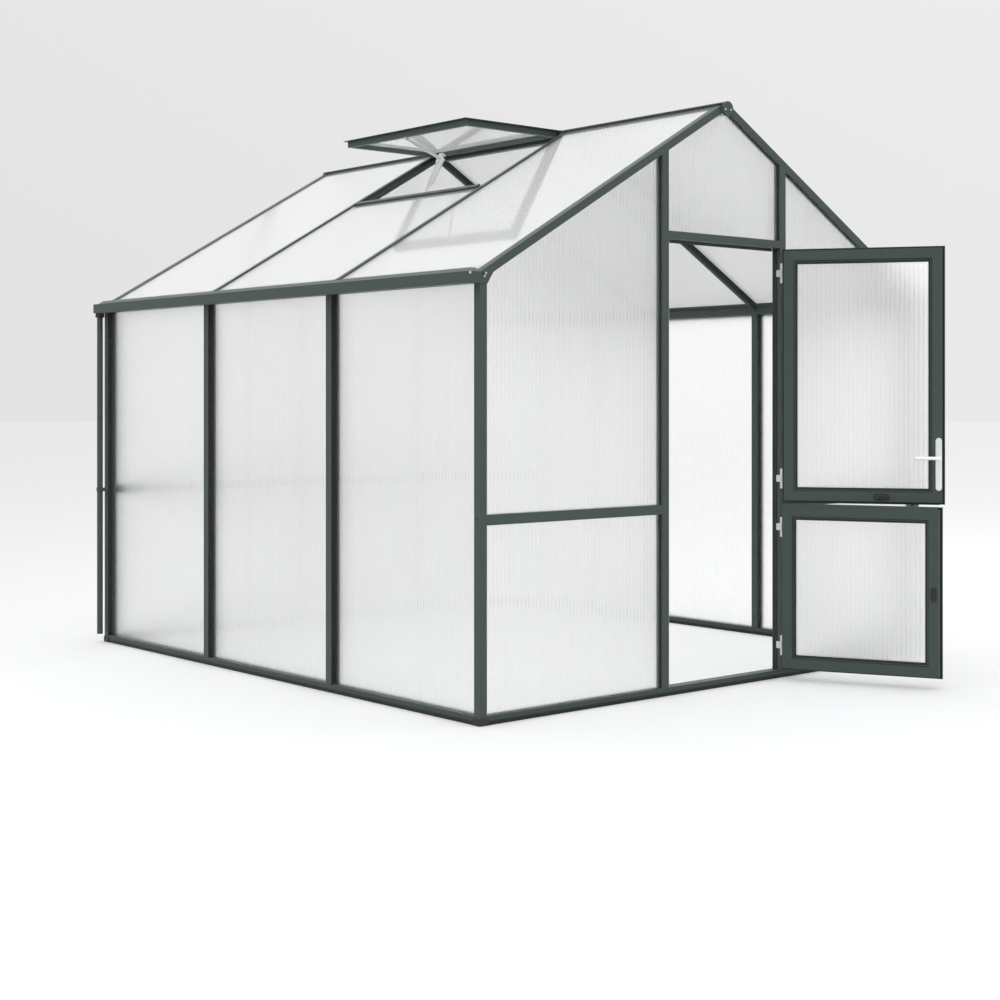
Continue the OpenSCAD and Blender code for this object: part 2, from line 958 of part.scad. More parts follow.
// Plates over the joint of corner post and rafter, with a gusset in the inner corner
module eave_corner_plate() {
    rafter_rise = rafter_t * slope_per_x;
    along_y(front_y - gusset_t, gusset_t)
        translate([-half_w, 0])
            polygon([
                [0, gutter_z], [corner_w, gutter_z],
                [corner_w + gusset_reach, eave_z + (corner_w + gusset_reach) * tan(roof_pitch)],
                [gusset_len, eave_z + gusset_len * tan(roof_pitch)],
                [gusset_len, eave_z + gusset_len * tan(roof_pitch) + rafter_rise],
                [0, eave_z + rafter_rise]
            ]);
}

module eave_corner_plates() {
    color(frame_green) {
        both_sides()
            eave_corner_plate();
        rear_side()
            both_sides()
                eave_corner_plate();
    }
}

// Sheets

// A wall sheet between two Y values
module wall_sheet(y0, y1) {
    translate([-half_w + side_set_back, y0, sill_h - sill_groove])
        cube([sheet_t, y1 - y0, eave_z + rafter_groove - edge_room - sill_h + sill_groove]);
}

// The Y span of the sheets in bay i
function wall_y0(i) = i == 0 ? front_y + corner_w - corner_slot + edge_room
                             : front_y + i * bay + post_web_half + edge_room;
function wall_y1(i) = 2 * mid_y - wall_y0(bay_count - 1 - i);

module wall_sheets_left() {
    color(sheet_white)
        for (i = [0 : bay_count - 1])
            wall_sheet(wall_y0(i), wall_y1(i));
}

module wall_sheets_right() {
    right_side()
        wall_sheets_left();
}

function roof_y0(i) = i == 0 ? front_y + rafter_depth - rafter_slot + edge_room
                             : front_y + i * bay + bar_web / 2 + edge_room;
function roof_y1(i) = 2 * mid_y - roof_y0(bay_count - 1 - i);

module roof_sheet(i, s1) {
    on_slope()
        translate([-sheet_overhang, roof_y0(i), roof_sheet_rise])
            cube([s1 + sheet_overhang, roof_y1(i) - roof_y0(i), sheet_t]);
}

module roof_sheets_left() {
    color(sheet_white)
        for (i = [0 : bay_count - 1])
            roof_sheet(i, i == vent_bay - 1 ? vent_sheet_end : sheet_slope_end);
}

module roof_sheets_right() {
    color(sheet_white)
        right_side()
            for (i = [0 : bay_count - 1])
                roof_sheet(i, sheet_slope_end);
}

// A gable sheet from its X and Z corner, cut to the slope inside the rafters' grooves and below the ridge
module gable_sheet(x0, x1, z0, z1) {
    along_y(front_y + gable_set_back, sheet_t)
        difference() {
            intersection() {
                translate([x0, z0])
                    square([x1 - x0, z1 - z0]);
                gable_outline((rafter_groove - edge_room) * slope_per_x);
            }
            translate([-ridge_beam_w / 2 - edge_room, ridge_foot_z])
                square([ridge_beam_w + 2 * edge_room, far]);
        }
}

sheet_foot_z = sill_h - sill_groove;
below_rail_z = mid_rail_z - mid_rail_h / 2 + rail_groove - edge_room;
above_rail_z = mid_rail_z + mid_rail_h / 2 - rail_groove;
side_x0 = -gable_slot_x + edge_room;
side_x1 = -stud_slot_x - edge_room;
middle_x = stud_x - post_web_half - edge_room;

module side_gable_sheets() {
    gable_sheet(side_x0, side_x1, sheet_foot_z, below_rail_z);
    gable_sheet(side_x0, side_x1, above_rail_z, far);
}

module gable_sheets_front() {
    color(sheet_white) {
        both_sides()
            side_gable_sheets();
        gable_sheet(-middle_x, middle_x, header_z + header_h - rail_groove, far);
    }
}

module gable_sheets_rear() {
    color(sheet_white)
        rear_side() {
            both_sides()
                side_gable_sheets();
            gable_sheet(-middle_x, middle_x, sheet_foot_z, below_rail_z);
            gable_sheet(-middle_x, middle_x, above_rail_z, far);
        }
}

// Roof vent

module vent_sill() {
    color(frame_green)
        on_slope()
            translate([vent_sill_s - vent_sill_w / 2, vent_bay_y + bar_flange_w / 2, 0])
                difference() {
                    cube([vent_sill_w, bay - bar_flange_w, rafter_t + vent_sill_rise]);
                    translate([-1, -1, roof_sheet_rise])
                        cube([rail_groove + 1, bay, sheet_t]);
                }
}

// Local frame of the vent: X from the hinge to the free edge, Z up from the hinge's middle
module on_vent() {
    translate([vent_bead_x, vent_y0, vent_bead_z])
        mirror([1, 0, 0])
            rotate([0, -vent_tilt, 0])
                children();
}

vent_rail_len = vent_len - vent_hook_reach - vent_lip_w;
vent_rail_y = vent_w - 2 * vent_lip_w;
vent_rail_foot = vent_lip_rise + vent_lip_t - vent_rail_h;

module vent_frame() {
    hole = [vent_rail_len - 2 * vent_rail_w, vent_rail_y - 2 * vent_rail_w];
    color(frame_green)
        on_vent()
            difference() {
                union() {
                    translate([0, 0, vent_lip_rise])
                        cube([vent_len, vent_w, vent_lip_t]);
                    translate([vent_hook_reach, vent_lip_w, vent_rail_foot])
                        cube([vent_rail_len, vent_rail_y, vent_rail_h]);
                    rotate([-90, 0, 0])
                        cylinder(h = vent_w, r = vent_hook_r);
                }
                translate([vent_hook_reach + vent_rail_w, vent_lip_w + vent_rail_w, -far / 2])
                    cube([hole[0], hole[1], far]);
                translate([vent_hook_reach + vent_rail_w - vent_slot, vent_lip_w + vent_rail_w - vent_slot,
                           vent_lip_rise - vent_sheet_t])
                    cube([hole[0] + 2 * vent_slot, hole[1] + 2 * vent_slot, vent_sheet_t]);
                rotate([-90, 0, 0])
                    translate([0, 0, -1])
                        cylinder(h = vent_w + 2, r = vent_bead_r + vent_hook_play);
                translate([-far, -1, -far / 2])
                    cube([far, vent_w + 2, far]);
                translate([-far / 2, -1, -far])
                    cube([far / 2 + vent_bead_r, vent_w + 2, far - vent_bead_r / 2]);
            }
}

module vent_sheet() {
    inset = vent_rail_w - vent_slot + edge_room;
    color(sheet_white)
        on_vent()
            translate([vent_hook_reach + inset, vent_lip_w + inset, vent_lip_rise - vent_sheet_t])
                cube([vent_rail_len - 2 * inset, vent_rail_y - 2 * inset, vent_sheet_t]);
}

// A flat arm with round ends between two points in X and Z
module arm(from, to, width) {
    length = norm(to - from);
    turn = atan2(to[1] - from[1], to[0] - from[0]);
    translate(from)
        rotate(turn) {
            circle(d = width);
            translate([length, 0])
                circle(d = width);
            translate([0, -width / 2])
                square([length, width]);
        }
}

// A point of the vent's local frame, given in X and Z of the house
function vent_point(x, z) = [
    vent_bead_x - x * cos(vent_tilt) + z * sin(vent_tilt),
    vent_bead_z + x * sin(vent_tilt) + z * cos(vent_tilt)
];

// A point of the left slope's local frame, given in X and Z of the house
function slope_point(x, z) = [
    -half_w + x * cos(roof_pitch) - z * sin(roof_pitch),
    eave_z + x * sin(roof_pitch) + z * cos(roof_pitch)
];

// A round rod between two points, given in X and Z and their distance from the vent's middle in Y
module rod(from, to, from_y, to_y, diameter) {
    reach = [to[0] - from[0], to_y - from_y, to[1] - from[1]];
    translate([from[0], vent_mid_y + from_y, from[1]])
        rotate([0, acos(reach[2] / norm(reach)), atan2(reach[1], reach[0])])
            cylinder(h = norm(reach), d = diameter);
}

// A pin through the vent's middle plane
module cross_pin(at, length) {
    along_y(vent_mid_y - length / 2, length)
        translate(at)
            circle(arm_pin_r);
}

// The opener: an upper arm on the vent's free rail, a joint block at the elbow, and below it a
// cylinder with its rod and a stay, both on a foot pin beside the sill bar
module vent_opener() {
    foot = slope_point(vent_sill_s + foot_out, -foot_drop);
    elbow = [-elbow_x, vent_bead_z - elbow_drop];
    ram_end = elbow + ram_share * (foot - elbow);
    head_x = vent_len - vent_lip_w - vent_rail_w / 2;
    head = vent_point(head_x, vent_rail_foot - arm_w / 2);
    ram_y = -stay_spread / 2;
    rod_y = -foot_spread / 2;
    ram_end_y = ram_y + ram_share * (rod_y - ram_y);
    lower_lean = atan2(elbow[0] - foot[0], elbow[1] - foot[1]);
    color(silver) {
        on_vent()
            translate([head_x - arm_w / 2, vent_w / 2 - arm_t, vent_rail_foot - arm_w / 2])
                cube([arm_w, 2 * arm_t, arm_w / 2]);
        along_y(vent_mid_y - arm_t / 2, arm_t)
            arm(elbow, head, arm_w);
        cross_pin(head, 2 * arm_t);
        along_y(vent_mid_y - elbow_block_t / 2, elbow_block_t)
            translate(elbow)
                rotate(-lower_lean)
                    square([elbow_block_w, elbow_block_h], center = true);
        cross_pin(elbow, stay_spread + ram_d);
        rod(elbow, ram_end, ram_y, ram_end_y, ram_d);
        rod(elbow, foot, ram_y, rod_y, stay_d);
        rod(elbow, foot, -ram_y, -rod_y, stay_d);
        cross_pin(foot, foot_spread + 2 * stay_d);
        on_slope()
            translate([vent_sill_s + vent_sill_w / 2, vent_mid_y - foot_spread / 2, -foot_drop - arm_pin_r]) {
                cube([foot_out - vent_sill_w / 2, foot_spread, 2 * arm_pin_r]);
                cube([foot_plate_t, foot_spread, foot_drop + arm_pin_r + foot_plate_h]);
            }
    }
}

// Door leaves, drawn closed and then swung open about the hinge axis

module swung(angle) {
    translate([hinge_x, hinge_y, 0])
        rotate([0, 0, angle])
            translate([-hinge_x, -hinge_y, 0])
                children();
}

// A rectangular ring in X and Z, its outer edge inset from the leaf's edge
module leaf_ring(z0, z1, inset, width) {
    difference() {
        translate([leaf_left + inset, z0 + inset])
            square([leaf_w - 2 * inset, z1 - z0 - 2 * inset]);
        translate([leaf_left + inset + width, z0 + inset + width])
            square([leaf_w - 2 * (inset + width), z1 - z0 - 2 * (inset + width)]);
    }
}

module leaf_frame(z0, z1) {
    bar_inset = leaf_flange_w;
    bead_inset = leaf_flange_w + leaf_bar_w;
    difference() {
        union() {
            along_y(front_y, leaf_flange_t)
                leaf_ring(z0, z1, 0, bead_inset);
            along_y(front_y, leaf_t)
                leaf_ring(z0, z1, bar_inset, leaf_bar_w);
            along_y(front_y + leaf_flange_t, leaf_t - leaf_bead_back - leaf_flange_t)
                leaf_ring(z0, z1, bead_inset - 1, leaf_bead_w + 1);
        }
        along_y(front_y + leaf_sheet_back, sheet_t)
            translate([leaf_left + leaf_hole_inset - leaf_slot, z0 + leaf_hole_inset - leaf_slot])
                square([leaf_w - 2 * (leaf_hole_inset - leaf_slot), z1 - z0 - 2 * (leaf_hole_inset - leaf_slot)]);
    }
}

module leaf_sheet(z0, z1) {
    inset = leaf_hole_inset - leaf_slot + edge_room;
    along_y(front_y + leaf_sheet_back, sheet_t)
        translate([leaf_left + inset, z0 + inset - edge_room])
            square([leaf_w - 2 * inset, z1 - z0 - 2 * inset]);
}

// The leaf's half of a hinge: two knuckles, the pin and a strap on the leaf's outer face
module hinge_leaf(z) {
    half = hinge_len / 2;
    middle = hinge_block_h / 2 + knuckle_play;
    translate([hinge_x, hinge_y, z]) {
        difference() {
            union() {
                translate([0, 0, -half])
                    cylinder(h = hinge_len, r = knuckle_r);
                translate([-hinge_gap - hinge_strap_w, axis_out - hinge_strap_t, -half])
                    cube([hinge_gap + hinge_strap_w, hinge_strap_t, hinge_len]);
            }
            translate([-knuckle_r - knuckle_play, -knuckle_r - 1, -middle])
                cube([2 * knuckle_r + 2, 2 * knuckle_r + axis_out, 2 * middle]);
        }
        translate([0, 0, -half])
            cylinder(h = hinge_len, r = hinge_pin_r);
    }
}

// The jamb's half of a hinge: the middle knuckle on a block at the jamb's side
module hinge_block(z) {
    translate([hinge_x, hinge_y, z - hinge_block_h / 2])
        difference() {
            union() {
                cylinder(h = hinge_block_h, r = knuckle_r);
                translate([-hinge_block_t, 0, 0])
                    cube([hinge_block_t, axis_out + hinge_block_depth, hinge_block_h]);
            }
            translate([0, 0, -1])
                cylinder(h = hinge_block_h + 2, r = hinge_pin_r + pin_play);
        }
}

module hinge_blocks() {
    color(silver)
        for (z = concat(upper_hinges, lower_hinges))
            hinge_block(z);
}

module upper_leaf_frame() {
    color(frame_green)
        swung(upper_open_angle)
            difference() {
                leaf_frame(upper_z0, upper_z1);
                translate([spindle_x, front_y - 1, lever_z])
                    rotate([-90, 0, 0])
                        cylinder(h = leaf_t + 2, r = spindle_r + spindle_play);
            }
}

module upper_leaf_sheet() {
    color(sheet_white)
        swung(upper_open_angle)
            leaf_sheet(upper_z0, upper_z1);
}

module upper_leaf_hinges() {
    color(silver)
        swung(upper_open_angle)
            for (z = upper_hinges)
                hinge_leaf(z);
}

module lower_leaf_frame() {
    color(frame_green)
        swung(lower_open_angle)
            leaf_frame(lower_z0, lower_z1);
}

module lower_leaf_sheet() {
    color(sheet_white)
        swung(lower_open_angle)
            leaf_sheet(lower_z0, lower_z1);
}

module lower_leaf_hinges() {
    color(silver)
        swung(lower_open_angle)
            for (z = lower_hinges)
                hinge_leaf(z);
}

// A long plate with round ends, from its middle
module round_plate(width, height) {
    for (side = [-1, 1])
        translate([0, side * (height - width) / 2])
            circle(d = width);
    square([width, height - width], center = true);
}

module handle_plates() {
    color(silver)
        swung(upper_open_angle)
            for (y = [front_y - plate_t, leaf_inner_y])
                along_y(y, plate_t)
                    difference() {
                        translate([spindle_x, lever_z - plate_drop])
                            round_plate(plate_w, plate_h);
                        translate([spindle_x, lever_z])
                            circle(spindle_r + spindle_play);
                    }
}

// One lever each side of the leaf on a common spindle
module door_lever() {
    y0 = front_y - plate_t - lever_stand_off;
    y1 = leaf_inner_y + plate_t + lever_stand_off;
    color(silver)
        swung(upper_open_angle) {
            translate([spindle_x, y0, lever_z])
                rotate([-90, 0, 0])
                    cylinder(h = y1 - y0, r = spindle_r);
            for (y = [y0, leaf_inner_y + plate_t + spindle_play])
                translate([spindle_x, y, lever_z])
                    rotate([-90, 0, 0])
                        cylinder(h = lever_stand_off - spindle_play, r = lever_hub_r);
            for (y = [y0 - lever_t / 2, y1 - lever_t / 2])
                along_y(y, lever_t)
                    translate([spindle_x, lever_z])
                        arm([lever_t / 2 - lever_tail, 0], [lever_len - lever_t / 2, 0], lever_t);
        }
}

module leaf_bolt() {
    color(plastic_black)
        swung(upper_open_angle)
            along_y(leaf_inner_y, bolt_t)
                translate([leaf_right - bolt_from_hinge, upper_z0 + leaf_flange_w + leaf_bar_w / 2])
                    rotate(90)
                        round_plate(bolt_h, bolt_w);
}

module lower_leaf_catch() {
    color(plastic_black)
        swung(lower_open_angle)
            along_y(leaf_inner_y, catch_t)
                translate([leaf_left + leaf_flange_w + leaf_bar_w / 2, catch_z])
                    round_plate(catch_w, catch_h);
}

sill_front();
sill_rear();
sill_left();
sill_right();
base_corner_caps();
corner_posts_left();
corner_posts_right();
wall_posts_left();
wall_posts_right();
gutter_left();
gutter_right();
eave_corner_plates();
downpipe();
downpipe_clip();
gable_rafters_front();
gable_rafters_rear();
roof_bars_left();
roof_bars_right();
ridge_beam();
ridge_end_plates();
door_jamb_latch();
door_jamb_hinge();
door_header();
mid_rails_front();
studs_rear();
mid_rails_rear();
wall_sheets_left();
wall_sheets_right();
roof_sheets_left();
roof_sheets_right();
gable_sheets_front();
gable_sheets_rear();
vent_sill();
vent_frame();
vent_sheet();
vent_opener();
hinge_blocks();
upper_leaf_frame();
upper_leaf_sheet();
upper_leaf_hinges();
handle_plates();
leaf_bolt();
lower_leaf_frame();
lower_leaf_sheet();
lower_leaf_hinges();
lower_leaf_catch();
door_lever();
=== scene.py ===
# %% [markdown]
# # Dressing a garden greenhouse
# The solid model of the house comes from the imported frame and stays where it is. These cells give it
# its finishes, and they add what is too fine for the solid model: the flutes of the glazing sheets,
# rubber gaskets, screws, the grips of the door handle and the ribs of the downpipe's collar.
# Every new piece is a surface worked out with numpy arrays, so each one can be read as a formula.

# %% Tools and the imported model
import json
import math

import bmesh
import bpy
import numpy as np
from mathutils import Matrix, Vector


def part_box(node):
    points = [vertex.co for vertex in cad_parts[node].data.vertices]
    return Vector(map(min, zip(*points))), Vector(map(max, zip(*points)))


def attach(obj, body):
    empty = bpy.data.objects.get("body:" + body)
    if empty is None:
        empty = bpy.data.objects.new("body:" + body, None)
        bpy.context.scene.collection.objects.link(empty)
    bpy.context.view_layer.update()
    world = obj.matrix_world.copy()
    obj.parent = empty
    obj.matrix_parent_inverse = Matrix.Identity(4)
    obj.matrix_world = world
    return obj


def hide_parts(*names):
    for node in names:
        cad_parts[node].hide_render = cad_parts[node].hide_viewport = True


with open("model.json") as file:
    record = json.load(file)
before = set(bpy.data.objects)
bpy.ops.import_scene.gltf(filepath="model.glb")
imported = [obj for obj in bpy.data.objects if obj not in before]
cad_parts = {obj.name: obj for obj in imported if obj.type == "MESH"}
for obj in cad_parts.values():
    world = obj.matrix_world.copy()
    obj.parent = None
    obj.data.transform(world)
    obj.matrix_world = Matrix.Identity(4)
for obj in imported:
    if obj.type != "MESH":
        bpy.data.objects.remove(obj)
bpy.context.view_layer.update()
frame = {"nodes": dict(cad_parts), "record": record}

# %% [markdown]
# ## Camera
# A photograph taken from eye height with upright walls has a level camera, and the picture is then
# moved up or down by shifting the lens. So the camera here is level too, and the lens shift puts the
# horizon where the photograph has it. A tilted camera would make the walls lean together.

# %% Camera
SENSOR_MM = 36.0
LENS_WIDTHS = 1.6995  # focal length as a share of the picture's width
LENS_SHIFT = -0.10085
HEADING = math.radians(40.618)  # clockwise from straight ahead along Y
lens = bpy.data.cameras.new("view")
lens.sensor_width = SENSOR_MM
lens.lens = SENSOR_MM * LENS_WIDTHS
lens.shift_y = LENS_SHIFT
lens.clip_end = 400
camera = bpy.data.objects.new("view", lens)
camera.location = (-5.529, -4.968, 1.2425)
camera.rotation_euler = (math.pi / 2, 0, -HEADING)
bpy.context.scene.collection.objects.link(camera)
bpy.context.scene.camera = camera
print("lens", round(lens.lens, 2), "mm")

# %% [markdown]
# ## Light
# The photograph has the light of a white studio: it comes from everywhere, a little more from above,
# and leaves only faint shadows. A world that is brighter overhead gives that without any lamp. What
# the camera sees behind the house is a separate, plain pale tone. Glossy surfaces see the same tone,
# so that they fit the picture, and through a clear sheet it is a little paler.

# %% World
scene = bpy.context.scene
scene.view_settings.view_transform = "Standard"
world = bpy.data.worlds.new("studio")
world.use_nodes = True
scene.world = world
net = world.node_tree
net.nodes.clear()


def feed(made, **settings):
    """Sets a node's properties and inputs. An input goes by its name, with _ for a space, or by i and its number.

    Where an output is given for an input, the two are linked."""
    for key, value in settings.items():
        label = key.replace("_", " ")
        if hasattr(made, key) and label not in made.inputs.keys():
            setattr(made, key, value)
            continue
        socket = made.inputs[int(key[1:]) if key[0] == "i" and key[1:].isdigit() else label]
        if isinstance(value, bpy.types.NodeSocket):
            made.id_data.links.new(value, socket)
        else:
            socket.default_value = value
    return made


def node(tree, kind, **settings):
    """Adds a node to a tree and feeds it."""
    return feed(tree.nodes.new(kind), **settings)


def larger(tree, first, second):
    """The larger of two values."""
    return node(tree, "ShaderNodeMath", operation="MAXIMUM", i0=first, i1=second).outputs[0]


def seen_by(tree, *rays):
    """1 for the named kinds of ray and 0 for all others."""
    path = node(tree, "ShaderNodeLightPath")
    found = path.outputs[f"Is {rays[0]} Ray"]
    for ray in rays[1:]:
        found = larger(tree, found, path.outputs[f"Is {ray} Ray"])
    return found


direction = node(net, "ShaderNodeTexCoord").outputs["Generated"]
height = node(net, "ShaderNodeSeparateXYZ", i0=direction).outputs["Z"]
overhead = node(net, "ShaderNodeMapRange", interpolation_type="SMOOTHSTEP", Value=height, To_Min=0.58, To_Max=1.32)
soft_light = node(net, "ShaderNodeBackground", Color=(0.985, 0.99, 1.0, 1.0), Strength=overhead.outputs[0])

VIEW_RIGHT = (math.cos(HEADING), -math.sin(HEADING), 0.0)
SIDE_FALL = 0.082  # how much paler the backdrop grows towards the right, per unit of sideways direction
# Painted light: the backdrop is paler only for rays through a sheet, standing in for the light a real sheet scatters,
# so the sheets glow a little.
PAINTED_SHEET_GLOW = 0.23  # how much paler the backdrop is through a sheet
wall_tone = node(net, "ShaderNodeMapRange", Value=height, From_Min=0.08, From_Max=0.24, To_Min=0.798, To_Max=0.823)
sideways = node(net, "ShaderNodeVectorMath", operation="DOT_PRODUCT", i0=direction, i1=VIEW_RIGHT)
paler_right = node(net, "ShaderNodeMath", operation="MULTIPLY_ADD", i0=sideways.outputs["Value"], i1=SIDE_FALL,
                   i2=wall_tone.outputs[0])
higher_up = node(net, "ShaderNodeMapRange", Value=height, From_Min=0.25, From_Max=0.80, To_Min=0.0, To_Max=0.45)
whole_tone = node(net, "ShaderNodeMath", operation="ADD", i0=paler_right.outputs[0], i1=higher_up.outputs[0])
through_sheet = node(net, "ShaderNodeMath", operation="MULTIPLY_ADD", i0=seen_by(net, "Transmission"), i1=PAINTED_SHEET_GLOW,
                     i2=whole_tone.outputs[0])
backdrop = node(net, "ShaderNodeBackground", Color=(0.995, 0.995, 1.0, 1.0), Strength=through_sheet.outputs[0])
chooser = node(net, "ShaderNodeMixShader", Fac=seen_by(net, "Camera", "Glossy", "Transmission"),
               i1=soft_light.outputs[0], i2=backdrop.outputs[0])
node(net, "ShaderNodeOutputWorld", Surface=chooser.outputs[0])
print("world nodes", len(net.nodes))

# %% [markdown]
# ## Surfaces from arrays
# Most parts of a greenhouse are extrusions: one outline carried along a straight line. Screws and
# collars are turned, which is an outline carried round an axis. Both are grids of points, so one
# helper can close any grid into a mesh. The grid is worked out in one go as an array, with no loop
# over its points.

# %% Grid helpers
def grid_faces(rows, columns, wrap_rows=False):
    """Quads of a grid whose columns close into a ring: corner (i, j), (i, j+1), (i+1, j+1), (i+1, j)."""
    i = np.arange(rows if wrap_rows else rows - 1)[:, None]
    j = np.arange(columns)[None, :]
    i2, j2 = (i + 1) % rows, (j + 1) % columns
    return np.stack([i * columns + j, i * columns + j2, i2 * columns + j2, i2 * columns + j], -1).reshape(-1, 4)


def tube(rings, wrap=False):
    """A closed shell from rings of points, an array (rings, points, 3), with a flat cap at each end."""
    rows, columns = rings.shape[:2]
    faces = grid_faces(rows, columns, wrap).tolist()
    if not wrap:
        faces += [list(range(columns))[::-1], list(range((rows - 1) * columns, rows * columns))]
    return rings.reshape(-1, 3), faces


def sweep(section, start, end, side, up):
    """An outline of points (a, b) carried from start to end: point = end of line + a * side + b * up."""
    ends = np.array([start, end], float)
    section = np.asarray(section, float)
    offset = section[:, :1] * np.asarray(side, float) + section[:, 1:] * np.asarray(up, float)
    return tube(ends[:, None, :] + offset[None, :, :])


def turned(profile, centre, axis, steps=20):
    """A profile of (radius, height) turned about an axis: centre + height * axis + radius * (cos, sin) across it."""
    axis = np.asarray(axis, float) / np.linalg.norm(axis)
    helper = np.array([0.0, 0.0, 1.0]) if abs(axis[2]) < 0.9 else np.array([1.0, 0.0, 0.0])
    right = np.cross(axis, helper)
    right /= np.linalg.norm(right)
    ahead = np.cross(axis, right)
    turn = np.linspace(0, 2 * math.pi, steps, endpoint=False)
    around = np.cos(turn)[:, None] * right + np.sin(turn)[:, None] * ahead
    profile = np.asarray(profile, float)
    rings = np.asarray(centre, float) + profile[:, None, 1:] * axis + profile[:, None, :1] * around[None]
    return tube(rings)


# %% From arrays to an object
def join(shells):
    """Puts several shells into one list of points and one list of faces."""
    points, faces, first = [], [], 0
    for shell_points, shell_faces in shells:
        points.append(np.asarray(shell_points, float))
        faces += [[first + corner for corner in face] for face in shell_faces]
        first += len(shell_points)
    return np.concatenate(points), faces


def piece(name, shells, finish, body="house", smooth=35):
    """Makes one object from shells, turns its faces outwards and lets it ride on a body of the house."""
    points, faces = join(shells)
    mesh = bpy.data.meshes.new(name)
    mesh.from_pydata(points.tolist(), [], faces)
    work = bmesh.new()
    work.from_mesh(mesh)
    bmesh.ops.recalc_face_normals(work, faces=work.faces)
    work.to_mesh(mesh)
    work.free()
    mesh.materials.append(finish)
    made = bpy.data.objects.new(name, mesh)
    scene.collection.objects.link(made)
    if smooth:
        mesh.shade_smooth()
        mesh.set_sharp_from_angle(angle=math.radians(smooth))
    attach(made, body)
    print(f"{name}: {len(mesh.polygons)} faces")
    return made


# %% [markdown]
# ## Shared effects
# Powder coat, plastic and rubber all have a fine grain, and every finish varies a little in tone.
# That is one effect at different scales, so it is a node group that each material uses with its own
# values. Aluminium that was extruded or brushed has fine lines along its length instead, which is a
# noise stretched one way, and it is the second group.

# %% Node groups
def group(name, inputs, outputs):
    """An empty shader group with inputs (name, kind, value) and number outputs, and its two end nodes."""
    made = bpy.data.node_groups.new(name, "ShaderNodeTree")
    for label, kind, value in inputs:
        socket = made.interface.new_socket(label, in_out="INPUT", socket_type="NodeSocket" + kind)
        if value is not None:
            socket.default_value = value
    for label in outputs:
        made.interface.new_socket(label, in_out="OUTPUT", socket_type="NodeSocketFloat")
    return made, made.nodes.new("NodeGroupInput"), made.nodes.new("NodeGroupOutput")


def make_grain():
    """Fine grain and slow tone change: Height is noise at Scale, Tone is 1 + Spread * slow noise around 0."""
    tree, into, out = group(
        "fine_grain",
        [("Vector", "Vector", None), ("Scale", "Float", 900.0), ("Slow Scale", "Float", 3.0),
         ("Spread", "Float", 0.08)],
        ["Height", "Tone", "Mask"])
    slow = node(tree, "ShaderNodeTexNoise", Vector=into.outputs["Vector"], Scale=into.outputs["Slow Scale"],
                Detail=3.0, Roughness=0.55)
    fine = node(tree, "ShaderNodeTexNoise", Vector=into.outputs["Vector"], Scale=into.outputs["Scale"],
                Detail=2.0, Roughness=0.6)
    centred = node(tree, "ShaderNodeMath", operation="SUBTRACT", i0=slow.outputs["Fac"], i1=0.5)
    spread = node(tree, "ShaderNodeMath", operation="MULTIPLY_ADD", i0=centred.outputs[0], i1=into.outputs["Spread"],
                  i2=1.0)
    feed(out, Height=fine.outputs["Fac"], Tone=spread.outputs[0], Mask=slow.outputs["Fac"])
    return tree


def make_draw_lines():
    """Fine lines along Z, X or Y: noise whose space is squeezed by Stretch along the piece."""
    tree, into, out = group(
        "draw_lines",
        [("Vector", "Vector", None), ("Stretch", "Vector", (1.0, 1.0, 1.0)), ("Scale", "Float", 700.0)],
        ["Height"])
    squeeze = node(tree, "ShaderNodeVectorMath", operation="MULTIPLY", i0=into.outputs["Vector"],
                   i1=into.outputs["Stretch"])
    lines = node(tree, "ShaderNodeTexNoise", Vector=squeeze.outputs[0], Scale=into.outputs["Scale"], Detail=1.0,
                 Roughness=0.5)
    feed(out, Height=lines.outputs["Fac"])
    return tree


FINE_GRAIN, DRAW_LINES = make_grain(), make_draw_lines()
print("groups:", FINE_GRAIN.name, DRAW_LINES.name)


# %% A material with grain
def start_material(name):
    """A material, its tree, a Principled shader linked to the output, and a Texture Coordinate node."""
    made = bpy.data.materials.new(name)
    made.use_nodes = True
    tree = made.node_tree
    tree.nodes.clear()
    shader = node(tree, "ShaderNodeBsdfPrincipled")
    node(tree, "ShaderNodeOutputMaterial", Surface=shader.outputs[0])
    return made, tree, shader, node(tree, "ShaderNodeTexCoord")


def scaled_colour(tree, colour, factor):
    """A colour, given or from an output, times a factor."""
    return node(tree, "ShaderNodeVectorMath", operation="SCALE", i0=colour, Scale=factor).outputs[0]


def grained(name, colour, rough, rough_spread=0.08, grain=900.0, bump=0.12, spread=0.08, slow=3.0, **sockets):
    """Colour and roughness that vary slowly over the surface, with a fine grain as bump."""
    made, tree, shader, place = start_material(name)
    effect = node(tree, "ShaderNodeGroup", node_tree=FINE_GRAIN, Vector=place.outputs["Object"], Scale=grain,
                  Slow_Scale=slow, Spread=spread)
    gloss = node(tree, "ShaderNodeMapRange", Value=effect.outputs["Mask"], To_Min=rough - rough_spread,
                 To_Max=rough + rough_spread)
    relief = node(tree, "ShaderNodeBump", Strength=bump, Distance=0.0006, Height=effect.outputs["Height"])
    feed(shader, Base_Color=scaled_colour(tree, colour, effect.outputs["Tone"]), Roughness=gloss.outputs[0],
         Normal=relief.outputs[0], **sockets)
    return made


# %% [markdown]
# ## Finishes
# The frame is powder coated in a dark slate green: satin, with a very fine orange peel. Gaskets are
# matt black rubber, the caps and catches moulded black plastic. Hinges, handle and opener are silver
# anodised aluminium, which is metal with a roughness that follows its drawing lines.

